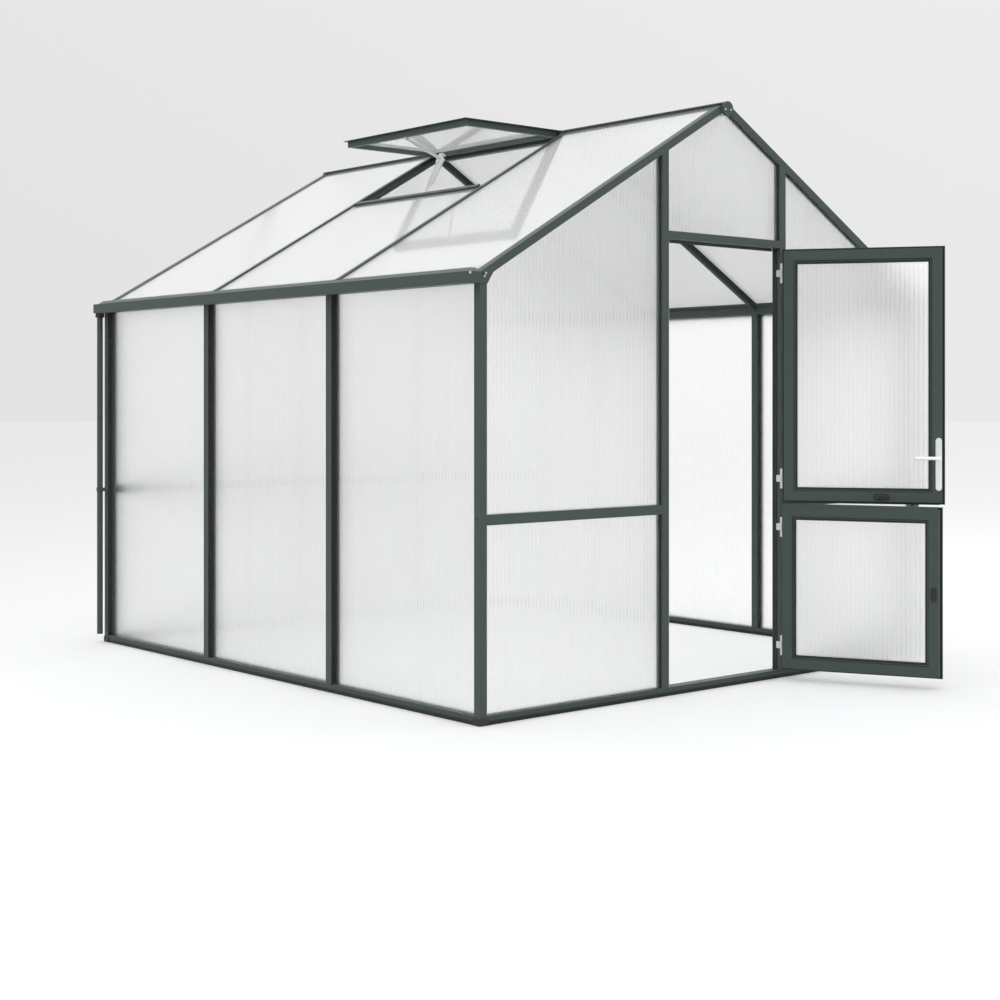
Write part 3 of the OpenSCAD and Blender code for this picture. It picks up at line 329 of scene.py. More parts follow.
# %% Paint, rubber and plastic
slate_green = grained("slate_green_coat", (0.0890, 0.1200, 0.1100), 0.42, spread=0.10, bump=0.10,
                      Specular_IOR_Level=0.25)
black_rubber = grained("black_rubber", (0.0130, 0.0150, 0.0145), 0.62, spread=0.25, grain=1400.0, bump=0.2, slow=9.0)
black_moulding = grained("black_moulding", (0.0190, 0.0215, 0.0210), 0.48, spread=0.2, grain=1800.0, bump=0.15,
                         slow=12.0)
pale_seal = grained("pale_seal", (0.80, 0.81, 0.81), 0.55, spread=0.05, grain=1500.0, slow=8.0)
dark_screw = grained("dark_screw", (0.030, 0.034, 0.033), 0.4, spread=0.2, grain=2500.0, slow=40.0, Metallic=0.6)
bright_screw = grained("bright_screw", (0.72, 0.73, 0.73), 0.32, spread=0.1, grain=2500.0, slow=60.0, Metallic=0.85)


# %% Sill paint with painted shade
def painted_foot_shade(finish, level, blend, share):
    """Painted shade: scales a finish's colour by share below a level, blended from level - blend to level + blend."""
    tree = finish.node_tree
    shader = tree.nodes["Principled BSDF"]
    split = node(tree, "ShaderNodeSeparateXYZ", i0=node(tree, "ShaderNodeTexCoord").outputs["Object"])
    ramp = node(tree, "ShaderNodeMapRange", Value=split.outputs["Z"], From_Min=level - blend, From_Max=level + blend,
                To_Min=share, To_Max=1.0)
    feed(shader, Base_Color=scaled_colour(tree, shader.inputs["Base Color"].links[0].from_socket, ramp.outputs[0]))


# The sill's paint is the frame's green made darker, and below about 16 mm darker still: both are painted shade, for the
# lower light near the floor and the shade at its foot.
sill_coat_painted_shade = grained("sill_coat_painted_shade", (0.0760, 0.1010, 0.0930), 0.45, spread=0.10, Specular_IOR_Level=0.25)
painted_foot_shade(sill_coat_painted_shade, level=0.016, blend=0.003, share=0.28)


# %% Silver aluminium
def silver_metal(name, stretch, colour=(0.74, 0.75, 0.755), metallic=0.75):
    """Anodised aluminium: tone from the grain group, roughness and bump from lines drawn along the piece."""
    made, tree, shader, place = start_material(name)
    tones = node(tree, "ShaderNodeGroup", node_tree=FINE_GRAIN, Vector=place.outputs["Object"], Slow_Scale=14.0,
                 Spread=0.10)
    lines = node(tree, "ShaderNodeGroup", node_tree=DRAW_LINES, Vector=place.outputs["Object"], Stretch=stretch)
    gloss = node(tree, "ShaderNodeMapRange", Value=lines.outputs["Height"], To_Min=0.30, To_Max=0.50)
    relief = node(tree, "ShaderNodeBump", Strength=0.08, Distance=0.0004, Height=lines.outputs["Height"])
    feed(shader, Base_Color=scaled_colour(tree, colour, tones.outputs["Tone"]), Roughness=gloss.outputs[0],
         Normal=relief.outputs[0], Metallic=metallic)
    return made


UPRIGHT, ALONG = (1.0, 1.0, 0.03), (0.03, 1.0, 0.6)
silver_upright = silver_metal("silver_upright", UPRIGHT)
silver_along = silver_metal("silver_along", ALONG)
plate_metal = silver_metal("handle_plate_metal", UPRIGHT, (0.89, 0.90, 0.89))
lever_metal = silver_metal("lever_metal", ALONG, (0.97, 0.97, 0.965), 1.0)

# %% [markdown]
# ## Multiwall sheet
# The glazing is not a plain pane. It is a twin-skinned sheet whose skins are held apart by ribs about
# 20 mm apart. It scatters most of the light, so that things behind it melt into one pale tone, and only
# the narrow line at each rib is clear enough to show a faint, sharp band where a beam lies behind.
# So the material is glass with a roughness that follows the ribs through the sheet's own UV map, and
# the attribute named plain marks the skin that is clear all over. For shadow and bounced rays it turns
# transparent, so that the daylight reaches the inside.

# %% Sheet material
CLEAR_ROUGH, SHEET_IOR = 0.06, 1.4
RIB_FROM, RIB_TO = 0.05, 0.20  # where the rib's colour starts to fade and has faded, in ribs


def ramp_down(tree, value, first, last):
    """1 where the value is below first, 0 above last, smooth between."""
    return node(tree, "ShaderNodeMapRange", interpolation_type="SMOOTHSTEP", Value=value, From_Min=first,
                From_Max=last, To_Min=1.0, To_Max=0.0).outputs[0]


def multiwall(name, skin_colour, rough, clear, slit=0.045, rib_colour=(1.0, 1.0, 1.0)):
    """UV x counts ribs: Ping-Pong of it is 0 at a rib and 0.5 between two. One ramp of that gives the rib its
    colour, and a narrower one is the clear slit, which is 1 all over the plain skin."""
    made, tree, shader, place = start_material(name)
    split = node(tree, "ShaderNodeSeparateXYZ", i0=place.outputs["UV"])
    fold = node(tree, "ShaderNodeMath", operation="PINGPONG", i0=split.outputs["X"], i1=0.5).outputs[0]
    plain = node(tree, "ShaderNodeAttribute", attribute_name="plain").outputs["Fac"]
    tones = node(tree, "ShaderNodeGroup", node_tree=FINE_GRAIN, Vector=place.outputs["Object"], Slow_Scale=1.3,
                 Spread=0.01)
    colour = node(tree, "ShaderNodeMix", data_type="RGBA", Factor=ramp_down(tree, fold, RIB_FROM, RIB_TO),
                  i6=(*skin_colour, 1.0), i7=(*rib_colour, 1.0))
    gloss = node(tree, "ShaderNodeMapRange", Value=larger(tree, ramp_down(tree, fold, slit / 3, slit), plain),
                 To_Min=rough, To_Max=CLEAR_ROUGH)
    feed(shader, Base_Color=scaled_colour(tree, colour.outputs[2], tones.outputs["Tone"]),
         Roughness=gloss.outputs[0], Transmission_Weight=clear, IOR=SHEET_IOR)
    let_light = node(tree, "ShaderNodeBsdfTransparent", Color=(0.982, 0.985, 0.985, 1.0))
    both = node(tree, "ShaderNodeMixShader", Fac=seen_by(tree, "Shadow", "Diffuse"), i1=shader.outputs[0],
                i2=let_light.outputs[0])
    feed(tree.get_output_node("ALL"), Surface=both.outputs[0])
    return made


wall_sheet = multiwall("multiwall_wall", (0.960, 0.962, 0.963), 0.50, 1.0)
roof_sheet = multiwall("multiwall_roof", (0.994, 0.996, 0.997), 0.50, 0.82, 0.03)
door_sheet = multiwall("multiwall_door", (1.0, 1.0, 1.0), 0.62, 1.0, 0.024, (0.945, 0.947, 0.950))

# %% Sizes of the house, in metres, as in the solid model
HALF_W, FRONT, REAR = 1.390, -0.025, 2.975
EAVE, SLOPE = 1.690, math.radians(30)
BAYS, POST_HALF, CORNER = 3, 0.020, 0.035
SILL_TOP, SIDE_BACK, GABLE_BACK = 0.035, 0.020, 0.012
JAMB, STUD = 0.3575, 0.038
RAIL_LOW, RAIL_HIGH = 0.761, 0.801
HEADER_LOW, HEADER_HIGH = 1.916, 1.949
RIDGE_FOOT_HALF, RIDGE_RISE, RIDGE_DEEP, SHEET_RAISE = 0.021, 0.0375, 0.052, 0.0104
HINGE = np.array([0.3575, -0.031, 0.0])
UPPER_OPEN, LOWER_OPEN = math.radians(124), math.radians(116)
ridge_foot = EAVE + HALF_W * math.tan(SLOPE) + RIDGE_RISE - RIDGE_DEEP
bay = (REAR - FRONT) / BAYS


def slope_height(x):
    """Height of the rafters' underside over x: it falls from the ridge by the tangent of the pitch."""
    return EAVE + (HALF_W - np.abs(x)) * math.tan(SLOPE)


# %% [markdown]
# The sheets of the solid model are plain plates, so each is replaced by a fluted one of the same
# size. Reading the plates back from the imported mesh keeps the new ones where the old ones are: the
# corners that coincide are merged, corners that share a triangle get the same label, and the labels
# spread until every plate has one of its own.

# %% Plates of a node
def plates_of(node_name, axes):
    """Lowest and highest corner of each separate solid of a node, measured along three unit axes (rows)."""
    mesh = frame["nodes"][node_name].data
    co = np.zeros(len(mesh.vertices) * 3)
    mesh.vertices.foreach_get("co", co)
    unique, back = np.unique(np.round(co.reshape(-1, 3), 5), axis=0, return_inverse=True)
    back = back.reshape(-1)
    mesh.calc_loop_triangles()
    corners = np.zeros(len(mesh.loop_triangles) * 3, int)
    mesh.loop_triangles.foreach_get("vertices", corners)
    triangles = back[corners].reshape(-1, 3)
    label = np.arange(len(unique))
    while True:
        lowest = label[triangles].min(axis=1)
        spread = label.copy()
        np.minimum.at(spread, triangles, lowest[:, None])
        if (spread == label).all():
            break
        label = spread
    local = unique @ np.asarray(axes, float).T
    return [(local[label == k].min(0), local[label == k].max(0)) for k in np.unique(label)]


# %% Fluted plate
PITCH, STEPS = 0.020, 6


def fluted_plate(low, high, axes, deepest, top=None):
    """A plate with a flat skin and one that sags between ribs: depth = deepest * |sin(pi * across / pitch)|.

    The plate's outline is a ring across and through the sheet, and it is carried along the flutes
    from the low end to top(across), which may slope. Returns points, faces, UV per point, and 1 for
    every point of the flat skin."""
    count = max(1, round((high[0] - low[0]) / PITCH))
    across = np.linspace(low[0], high[0], count * STEPS + 1)
    ribs = np.linspace(0, count, count * STEPS + 1)
    sag = deepest * np.abs(np.sin(math.pi * ribs))
    ring_u = np.concatenate([across, across[::-1]])
    ring_w = np.concatenate([np.full_like(sag, high[2]), (low[2] + sag)[::-1]])
    flat = np.concatenate([np.ones_like(sag), np.zeros_like(sag)])
    ring_r = np.concatenate([ribs, ribs[::-1]])
    end = np.full_like(ring_u, high[1]) if top is None else np.minimum(high[1], top(ring_u))
    local = np.stack([np.stack([ring_u, along, ring_w], -1) for along in (np.full_like(ring_u, low[1]), end)])
    size = len(ring_u)
    faces = grid_faces(2, size).tolist()
    i = np.arange(size // 2 - 1)
    for start in (0, size):
        faces += np.stack([start + i, start + i + 1, start + size - 2 - i, start + size - 1 - i], -1).tolist()
    uv = np.stack([np.concatenate([ring_r, ring_r]), local[..., 1].reshape(-1)], -1)
    return local.reshape(-1, 3) @ np.asarray(axes, float), faces, uv, np.concatenate([flat, flat])


def fluted_node(node_name, axes, finish, deepest, body="house", top=None):
    """Replaces a node's plates by fluted ones with a UV map that counts the ribs."""
    made_plates = [fluted_plate(low, high, axes, deepest, top) for low, high in plates_of(node_name, axes)]
    made = piece("fluted_" + node_name, [plate[:2] for plate in made_plates], finish, body, 0)
    every_uv = np.concatenate([plate[2] for plate in made_plates])
    plain = made.data.attributes.new("plain", "FLOAT", "POINT")
    plain.data.foreach_set("value", np.concatenate([plate[3] for plate in made_plates]).astype(np.float32))
    layer = made.data.uv_layers.new(name="ribs")
    loops = np.zeros(len(made.data.loops), int)
    made.data.loops.foreach_get("vertex_index", loops)
    layer.data.foreach_set("uv", every_uv[loops].astype(np.float32).ravel())
    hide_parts(node_name)
    return made


# %% [markdown]
# In the walls and gables the flutes stand upright, and in the roof and the vent they run down the
# slope, so that water can drain out of them. The gable sheets are cut to the slope of the rafters,
# and under the ridge beam the middle one is cut level.

# %% Wall and gable sheets
X, Y, Z = np.eye(3)
WALL_SAG, ROOF_SAG, DOOR_SAG = 0.00050, 0.00020, 0.0008


def gable_top(x):
    """Upper edge of a gable sheet: the slope, raised into the rafter's groove, and level under the ridge."""
    return np.where(np.abs(x) < RIDGE_FOOT_HALF, ridge_foot, slope_height(x) + SHEET_RAISE)


for side_name in ("left", "right"):
    fluted_node("wall_sheets_" + side_name, [Y, Z, X], wall_sheet, WALL_SAG)
for end_name in ("front", "rear"):
    fluted_node("gable_sheets_" + end_name, [X, Z, -Y], wall_sheet, WALL_SAG, top=gable_top)


# %% Roof and vent sheets
def slope_axes(side):
    """Unit vectors up the slope of one side and square off it."""
    c, s = math.cos(SLOPE), math.sin(SLOPE)
    return np.array([-side * c, 0, s]), np.array([side * s, 0, c])


for side_name, side in (("left", -1), ("right", 1)):
    fluted_node("roof_sheets_" + side_name, [Y, *slope_axes(side)], roof_sheet, ROOF_SAG)
fluted_node("vent_sheet", [Y, X, -Z], roof_sheet, ROOF_SAG)


# %% Door sheets
def turned_axes(angle):
    """The closed leaf's axes turned about the upright hinge line."""
    c, s = math.cos(angle), math.sin(angle)
    return np.array([[c, s, 0], [-s, c, 0], [0, 0, 1.0]])


def to_leaf(points, angle):
    """Moves points of the closed leaf to the open leaf: turned by angle about the hinge line."""
    return (np.asarray(points, float) - HINGE) @ turned_axes(angle) + HINGE


for leaf_name, angle in (("upper_leaf", UPPER_OPEN), ("lower_leaf", LOWER_OPEN)):
    leaf_x, leaf_y, leaf_z = turned_axes(angle)
    fluted_node(leaf_name + "_sheet", [leaf_x, leaf_z, -leaf_y], door_sheet, DOOR_SAG, leaf_name)

# %% [markdown]
# ## Carried-over pieces
# The solid model's own members have the right shape, so they stay and only get their finishes. Each
# finish goes by the piece's material slot in the record, apart from the sheets, which are replaced.

# %% Finishes on the solid model's nodes
FINISH_OF = {"frame_paint": slate_green, "multiwall_sheet": wall_sheet, "bare_aluminium": silver_upright,
             "black_plastic": black_moulding}
slot_of = {part["node"]: part["material_slot"] for part in frame["record"]["subparts"]}
for node_name, solid in frame["nodes"].items():
    solid.data.materials.clear()
    solid.data.materials.append(FINISH_OF[slot_of[node_name]])
frame["nodes"]["vent_opener"].data.materials[0] = silver_along
for edge_name in ("front", "rear", "left", "right"):
    frame["nodes"]["sill_" + edge_name].data.materials[0] = sill_coat_painted_shade
print(len(frame["nodes"]), "nodes carry their finish")

# %% [markdown]
# ## Gaskets
# A sheet is held between a member and a black rubber gasket. On the side walls the sheets sit 20 mm
# behind the posts' faces, and the gasket fills the side of that step, which is why the photograph has
# a black stripe beside every post. Its outline is a thin web with a rounded foot on the sheet.

# %% Gasket outline
def gasket_outline(depth, web=0.0012, foot=0.0042, lip=0.0012):
    """A web from lip to depth behind the face, ending in a quarter round foot that stands out on the sheet."""
    turn = np.linspace(0, math.pi / 2, 5)
    foot_x = depth - foot * np.cos(turn)
    foot_y = web + (foot - web) * np.sin(turn)
    points = [(lip, 0.0), (lip, web)] + list(zip(foot_x, foot_y)) + [(depth, 0.0)]
    return np.array(points)[::-1]


def gasket(start, end, inward, out, depth, **shape):
    """A gasket along a member's edge from start to end, reaching inward by depth and standing out from its side."""
    return sweep(gasket_outline(depth, **shape), start, end, inward, out)


# %% Side wall gaskets
WALL_DEPTH, SHEET_T, INNER_FOOT = 0.050, 0.016, 0.0022
INNER_STEP = WALL_DEPTH - SIDE_BACK - SHEET_T


def wall_gaskets(side):
    """Upright gaskets at both sides of every bay of one side wall, outside and inside of its sheet. The inside ones are
    partly painted shade in the posts' inner corners.
    """
    lower, upper = SILL_TOP, EAVE
    face_x, inward = side * HALF_W, -side * X
    made = []
    for i in range(BAYS):
        low_y = FRONT + (CORNER if i == 0 else i * bay + POST_HALF)
        high_y = REAR - (CORNER if i == BAYS - 1 else (BAYS - 1 - i) * bay + POST_HALF)
        inner_x = face_x - side * WALL_DEPTH
        for y, out in ((low_y, Y), (high_y, -Y)):
            made.append(gasket((face_x, y, lower), (face_x, y, upper), inward, out, SIDE_BACK))
            # Inside the sheet the gasket is partly painted shade: its black stands in for the shade in the post's inner
            # corner.
            made.append(gasket((inner_x, y, lower), (inner_x, y, upper), -inward, out, INNER_STEP, foot=INNER_FOOT))
    return made


piece("gaskets_and_shade_side_walls", wall_gaskets(-1) + wall_gaskets(1), black_rubber)


# %% Gable gaskets
def gable_gaskets(face_y, inward_y, has_door):
    """Small beads between a gable's members and its sheets. The middle sheet has them only in its upper field."""
    shape = dict(lip=GABLE_BACK - 0.004, web=0.0008, foot=0.0028)
    middle_foot = HEADER_HIGH if has_door else RAIL_HIGH
    made = []
    for side in (-1, 1):
        for x, out, foot in ((HALF_W - CORNER, -side, RAIL_HIGH), (JAMB + STUD, side, RAIL_HIGH),
                             (JAMB, -side, middle_foot)):
            runs = [(SILL_TOP, RAIL_LOW)] if x > JAMB else []
            for low, high in runs + [(foot, float(slope_height(x)))]:
                made.append(gasket((side * x, face_y, low), (side * x, face_y, high), inward_y * Y, out * X,
                                   GABLE_BACK, **shape))
    return made


piece("gaskets_gables", gable_gaskets(FRONT, 1.0, True) + gable_gaskets(REAR, -1.0, False), black_rubber)

# %% [markdown]
# On the roof a bead of rubber lies on the sheets along each side of a roof bar. On the left slope the
# middle bay has the vent, and there the sheet ends at the vent's sill, so the beads beside the open bay
# end there too. Under the sheets a flat rubber strip lies along each side of a bar's flange. From
# inside, and through the doorway, it makes the bars look wider and black at their edges; that black is
# partly painted shade, standing in for the shade along the bars' edges.

# %% Along the roof bars
RIDGE_HALF = 0.036


def along_bars(side, outline, low_x, beside=0.0, lift=0.0, mirrored=False):
    """An outline carried up the slope on both sides of each roof bar, from low_x inside the wall to the ridge.

    Its line runs at beside from the bar's middle and at lift off the rafters' underside. Mirrored turns the
    outline round on the bar's far side."""
    up, off = slope_axes(side)
    sill_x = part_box("vent_sill")[0].x + HALF_W
    made = []
    for i in range(1, BAYS):
        for edge in (-1, 1):
            beside_vent = side < 0 and (i == 1) == (edge == 1)
            foot = np.array([side * HALF_W, FRONT + i * bay + edge * beside, EAVE]) + lift * off
            ends = [foot + x / math.cos(SLOPE) * up for x in (low_x, sill_x if beside_vent else HALF_W - RIDGE_HALF)]
            made.append(sweep(outline, ends[0], ends[1], edge * Y if mirrored else Y, off))
    return made


# %% Roof gaskets
SHEET_TOP, CAP_HALF, BEAD_R, BEAD_X = 0.028, 0.0125, 0.0035, 0.052
BEAD_HALF = 0.8 * BEAD_R
half_turn = np.linspace(0, math.pi, 7)
bead_outline = np.stack([BEAD_HALF * np.cos(half_turn), BEAD_R * np.sin(half_turn)], -1)
for side_name, side in (("right", 1), ("left", -1)):
    piece("gaskets_roof_" + side_name, along_bars(side, bead_outline, BEAD_X, CAP_HALF + BEAD_HALF, SHEET_TOP),
          black_rubber)

# %% Strips under the roof sheets
STRIP_LOW, STRIP_HIGH, FLANGE_HALF, STRIP_REACH, SEAT_X = 0.0082, 0.0120, 0.020, 0.032, 0.076
under_outline = np.array([(FLANGE_HALF, STRIP_HIGH), (FLANGE_HALF, STRIP_LOW), (STRIP_REACH - 0.002, STRIP_LOW + 0.001),
                          (STRIP_REACH, STRIP_HIGH)])
# The strips are partly painted shade: their black stands in for the shade along the bars' edges inside.
strips = [strip for side in (-1, 1) for strip in along_bars(side, under_outline, SEAT_X, mirrored=True)]
piece("strips_and_shade_under_roof", strips, black_rubber, "house", 0)

# %% [markdown]
# ## Door leaves
# Each leaf is a mitred frame. Round its panel runs a black gasket on both faces, the flange that
# closes on the jambs carries a round seal, and a fine dark line shows where the bars meet at 45
# degrees. A ring of this kind is an outline carried round a rectangle: every point of the outline is
# the rectangle inset by its first number, at the depth of its second.

# %% Ring round a rectangle
LEAF_LEFT, LEAF_RIGHT, LEAF_T = -0.3495, 0.3515, 0.042
LEAVES = {"upper_leaf": (0.784, 1.909, UPPER_OPEN), "lower_leaf": (0.041, 0.778, LOWER_OPEN)}
FLANGE, BAR, BEAD, BEAD_BACK = 0.010, 0.044, 0.011, 0.006
SHEET_OUT, SHEET_IN = 0.013, 0.029


def ring(section, low_z, high_z):
    """Corners of the rectangle inset by t at depth y, for every (t, y) of the section: a grid closed both ways."""
    t, y = np.asarray(section, float).T
    x0, x1, z0, z1 = LEAF_LEFT + t, LEAF_RIGHT - t, low_z + t, high_z - t
    corners = [np.stack([x, FRONT + y, z], -1) for x, z in ((x0, z0), (x1, z0), (x1, z1), (x0, z1))]
    return tube(np.stack(corners, 1), wrap=True)


def half_round(first_t, last_t, base_y, height, steps=7):
    """A half round bead between two insets, standing height off its base."""
    turn = np.linspace(0, math.pi, steps)
    middle, reach = (first_t + last_t) / 2, (last_t - first_t) / 2
    return np.stack([middle - reach * np.cos(turn), base_y + height * np.sin(turn)], -1)


def on_leaf(shell, angle):
    """The same shell with its points moved to the open leaf."""
    return to_leaf(shell[0], angle), shell[1]


# %% Leaf gaskets and seals
HOLE = FLANGE + BAR + BEAD
PANEL_SEAL = [(-0.0030, 0.0358), (-0.0030, 0.0370), (-0.0012, 0.0380), (0.0018, 0.0372), (0.0042, 0.0340),
              (0.0048, SHEET_IN), (0.0002, SHEET_IN), (0.0002, 0.0358)]
for leaf_name, (low_z, high_z, angle) in LEAVES.items():
    rings = [
        ring([(HOLE + t, y) for t, y in PANEL_SEAL], low_z, high_z),
        ring(half_round(HOLE - 0.0005, HOLE + 0.0035, SHEET_OUT, -0.0045), low_z, high_z),
        ring(half_round(0.0002, FLANGE - 0.0002, 0.0040, 0.0035), low_z, high_z),
        # The last ring is painted shade: a thin black strip in the step between bar and bead, where the shadow of that
        # gap falls.
        ring(half_round(FLANGE + BAR + 0.0002, FLANGE + BAR + 0.0022, LEAF_T - BEAD_BACK, 0.0012), low_z, high_z)]
    piece(leaf_name + "_gaskets", [on_leaf(r, angle) for r in rings], black_rubber, leaf_name)


# %% Mitre lines
def mitre_lines(low_z, high_z):
    """Fine flat strips from each outer corner to the inner one, on both faces of a leaf."""
    outline = np.array([(-0.0003, -0.0001), (0.0003, -0.0001), (0.0003, 0.0001), (-0.0003, 0.0001)])
    made = []
    for x, step_x in ((LEAF_LEFT, 1), (LEAF_RIGHT, -1)):
        for z, step_z in ((low_z, 1), (high_z, -1)):
            diagonal = np.array([step_x, 0.0, step_z])
            across = np.array([-step_z, 0.0, step_x]) / math.sqrt(2)
            corner = np.array([x, FRONT, z])
            for first, last, depth in ((0.0005, HOLE - 0.0005, 0.0), (FLANGE + 0.0005, FLANGE + BAR - 0.0005, LEAF_T)):
                at = corner + np.array([0, depth, 0])
                made.append(sweep(outline, at + first * diagonal, at + last * diagonal, across, Y))
    return made


for leaf_name, (low_z, high_z, angle) in LEAVES.items():
    piece(leaf_name + "_mitres", [on_leaf(s, angle) for s in mitre_lines(low_z, high_z)], black_rubber,
          leaf_name, 0)

# %% [markdown]
# The gap between the leaves is covered by a meeting strip, a moulding that lies in the rebate along the
# lower leaf's top. It has rounded corners and stays 5 mm below the upper leaf, which has a black seal in
# the same rebate along its foot. The seal is partly painted shade: its black also stands in for the
# shadow under the upper leaf's foot.

# %% Meeting strip
strip_outline = np.array([(0.0042, 0.768), (0.0042, 0.7780), (0.0052, 0.7790), (0.0370, 0.7790), (0.0380, 0.7780),
                          (0.0380, 0.768)])
strip_ends = [(LEAF_LEFT + 0.020, FRONT, 0.0), (LEAF_RIGHT - FLANGE, FRONT, 0.0)]
piece("meeting_strip", [on_leaf(sweep(strip_outline, *strip_ends, Y, Z), LOWER_OPEN)], slate_green,
      "lower_leaf")
# The foot seal is partly painted shade: its black also stands in for the shadow under the upper leaf's foot.
foot_outline = np.array([(0.0300, 0.7938), (0.0306, 0.7850), (0.0316, 0.7842), (0.0364, 0.7842), (0.0374, 0.7850),
                         (0.0380, 0.7938)])
piece("foot_seal_and_shade", [on_leaf(sweep(foot_outline, *strip_ends, Y, Z), UPPER_OPEN)], black_rubber,
      "upper_leaf")

# %% [markdown]
# Both jambs have seals. The latch jamb has a pale brush just behind its front face, where the leaf's
# edge closes. The hinge jamb is lined with two flat black rubber strips behind its hinge blocks, which
# are partly painted shade: their black also stands in for the shade on the jamb's face inside the
# doorway. Both stay 5 mm clear of the closed leaves.

# %% Jamb seals
brush_outline = np.array([(0.0, 0.0), (0.0022, 0.0), (0.0030, 0.0006), (0.0030, 0.0018), (0.0022, 0.0024),
                          (0.0, 0.0024)])
piece("jamb_brush", [sweep(brush_outline, (-JAMB, FRONT + 0.001, SILL_TOP + 0.002),
                           (-JAMB, FRONT + 0.001, HEADER_LOW - 0.001), X, Y)], pale_seal)
# Black strips on the hinge jamb: a seal, and also painted shade on the jamb's face inside the doorway.
lining_and_shade = []
for first_y, last_y in ((0.0150, 0.0290), (0.0300, 0.0440)):
    outline = half_round(first_y, last_y, 0.0, 0.0010)[:, ::-1]
    lining_and_shade.append(sweep(outline, (JAMB, FRONT, SILL_TOP + 0.001), (JAMB, FRONT, HEADER_LOW - 0.001), -X, Y))
piece("jamb_lining", lining_and_shade, black_rubber)

# %% [markdown]
# ## Handle
# The handle has a long plate with round ends on each face of the leaf, and a lever on each. A plate is
# a stadium outline drawn at several insets, which rounds its edge. A lever is an oval section carried
# level along the leaf, which gets slimmer towards its rounded end, on a turned neck.

# %% Stadium plates
def stadium(width, height, inset, steps=12):
    """Two half circles joined by straight sides, all moved inwards by inset."""
    radius, straight = width / 2, (height - width) / 2
    turn = np.linspace(0, math.pi, steps)
    upper = np.stack([(radius - inset) * np.cos(turn), straight + (radius - inset) * np.sin(turn)], -1)
    return np.concatenate([upper, -upper])


def rounded_plate(width, height, depth, edge, centre, across, up, out):
    """Stadium rings from the base to a rounded top edge: inset = edge * (1 - cos), rise = edge * sin."""
    turn = np.linspace(0, math.pi / 2, 5)
    insets = np.concatenate([[0.0], edge * (1 - np.cos(turn))])
    rises = np.concatenate([[0.0], depth - edge + edge * np.sin(turn)])
    rings = np.stack([
        np.asarray(centre, float) + stadium(width, height, inset) @ np.stack([across, up]) + rise * np.asarray(out)
        for inset, rise in zip(insets, rises)])
    return tube(rings)


# %% Handle plates
SPINDLE_X, SPINDLE_Z = LEAF_LEFT + 0.026, 0.987
PLATE_W, PLATE_H, PLATE_T, PLATE_DROP = 0.027, 0.230, 0.008, 0.027
plate_shells = []
for face_y, out in ((FRONT, -Y), (FRONT + LEAF_T, Y)):
    centre = (SPINDLE_X, face_y, SPINDLE_Z - PLATE_DROP)
    plate_shells.append(rounded_plate(PLATE_W, PLATE_H, PLATE_T, 0.003, centre, X, Z, out))
plates = piece("handle_plates_rounded", [on_leaf(s, UPPER_OPEN) for s in plate_shells], plate_metal,
               "upper_leaf")
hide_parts("handle_plates")


# %% Levers
LEVER_OFF = 0.030


def lever(face_y, out_sign, reach=0.102, tail=0.014, end=0.009, half_deep=0.0068, half_tall=0.0084):
    """A flat oval carried along the leaf from tail to reach; its size closes as sqrt(1 - t^2) at both ends."""
    along = np.linspace(-tail, reach, 34)
    from_end = np.minimum(along + tail, reach - along)
    scale = np.sqrt(np.clip(1 - (1 - np.clip(from_end / end, 0, 1)) ** 2, 0.0025, 1))
    slim = 1 - 0.20 * np.clip(along / reach, 0, 1)
    around = np.linspace(0, 2 * math.pi, 20, endpoint=False)
    x = SPINDLE_X + along[:, None] + 0 * around
    y = face_y + out_sign * (LEVER_OFF + (half_deep * scale)[:, None] * np.cos(around))
    z = SPINDLE_Z + (half_tall * scale * slim)[:, None] * np.sin(around)
    return tube(np.stack([x, y, z], -1))


def neck(face_y, out):
    """The stem from the plate to the grip: a wide collar that hollows into a slim waist and swells again."""
    profile = [(0.0004, 0.0), (0.0115, 0.0), (0.0115, 0.0035), (0.0098, 0.0062), (0.0074, 0.0110), (0.0068, 0.0170),
               (0.0072, LEVER_OFF - 0.003), (0.0004, LEVER_OFF - 0.001)]
    return turned(profile, (SPINDLE_X, face_y, SPINDLE_Z), out, 28)


lever_shells = []
for face_y, out_sign in ((FRONT - PLATE_T, -1), (FRONT + LEAF_T + PLATE_T, 1)):
    lever_shells += [lever(face_y, out_sign), neck(face_y, out_sign * Y)]
levers = piece("door_lever_grips", [on_leaf(s, UPPER_OPEN) for s in lever_shells], lever_metal,
               "lever", 50)
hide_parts("door_lever")

# %% [markdown]
# ## Bolt and catch
# The upper leaf's bolt and the lower leaf's catch are black mouldings: a base with rounded edges, and
# on it a thumb slide with grip ridges. The ridges are a wave along the slide.

# %% Bolt and catch
def thumb_slide(centre, long_axis, short_axis, out, length=0.034, width=0.013, depth=0.007):
    """A slide whose top waves along its length t: depth * (1 - 0.09 * (1 + cos(12 pi t))), with rounded ends."""
    steps = np.linspace(-0.5, 0.5, 33)
    ends = np.sqrt(np.clip(1 - (2 * steps) ** 6, 0.01, 1))
    wave = 1 - 0.09 * (1 + np.cos(12 * math.pi * steps))
    rise = depth * wave * ends
    half = width / 2 * ends
    flat = np.array([-1.0, -1.0, -0.7, 0.7, 1.0, 1.0])
    lift = np.array([0.0, 0.7, 1.0, 1.0, 0.7, 0.0])
    rings = (np.asarray(centre, float) + (steps * length)[:, None, None] * long_axis
             + (half[:, None] * flat)[..., None] * short_axis + (rise[:, None] * lift)[..., None] * out)
    return tube(rings)


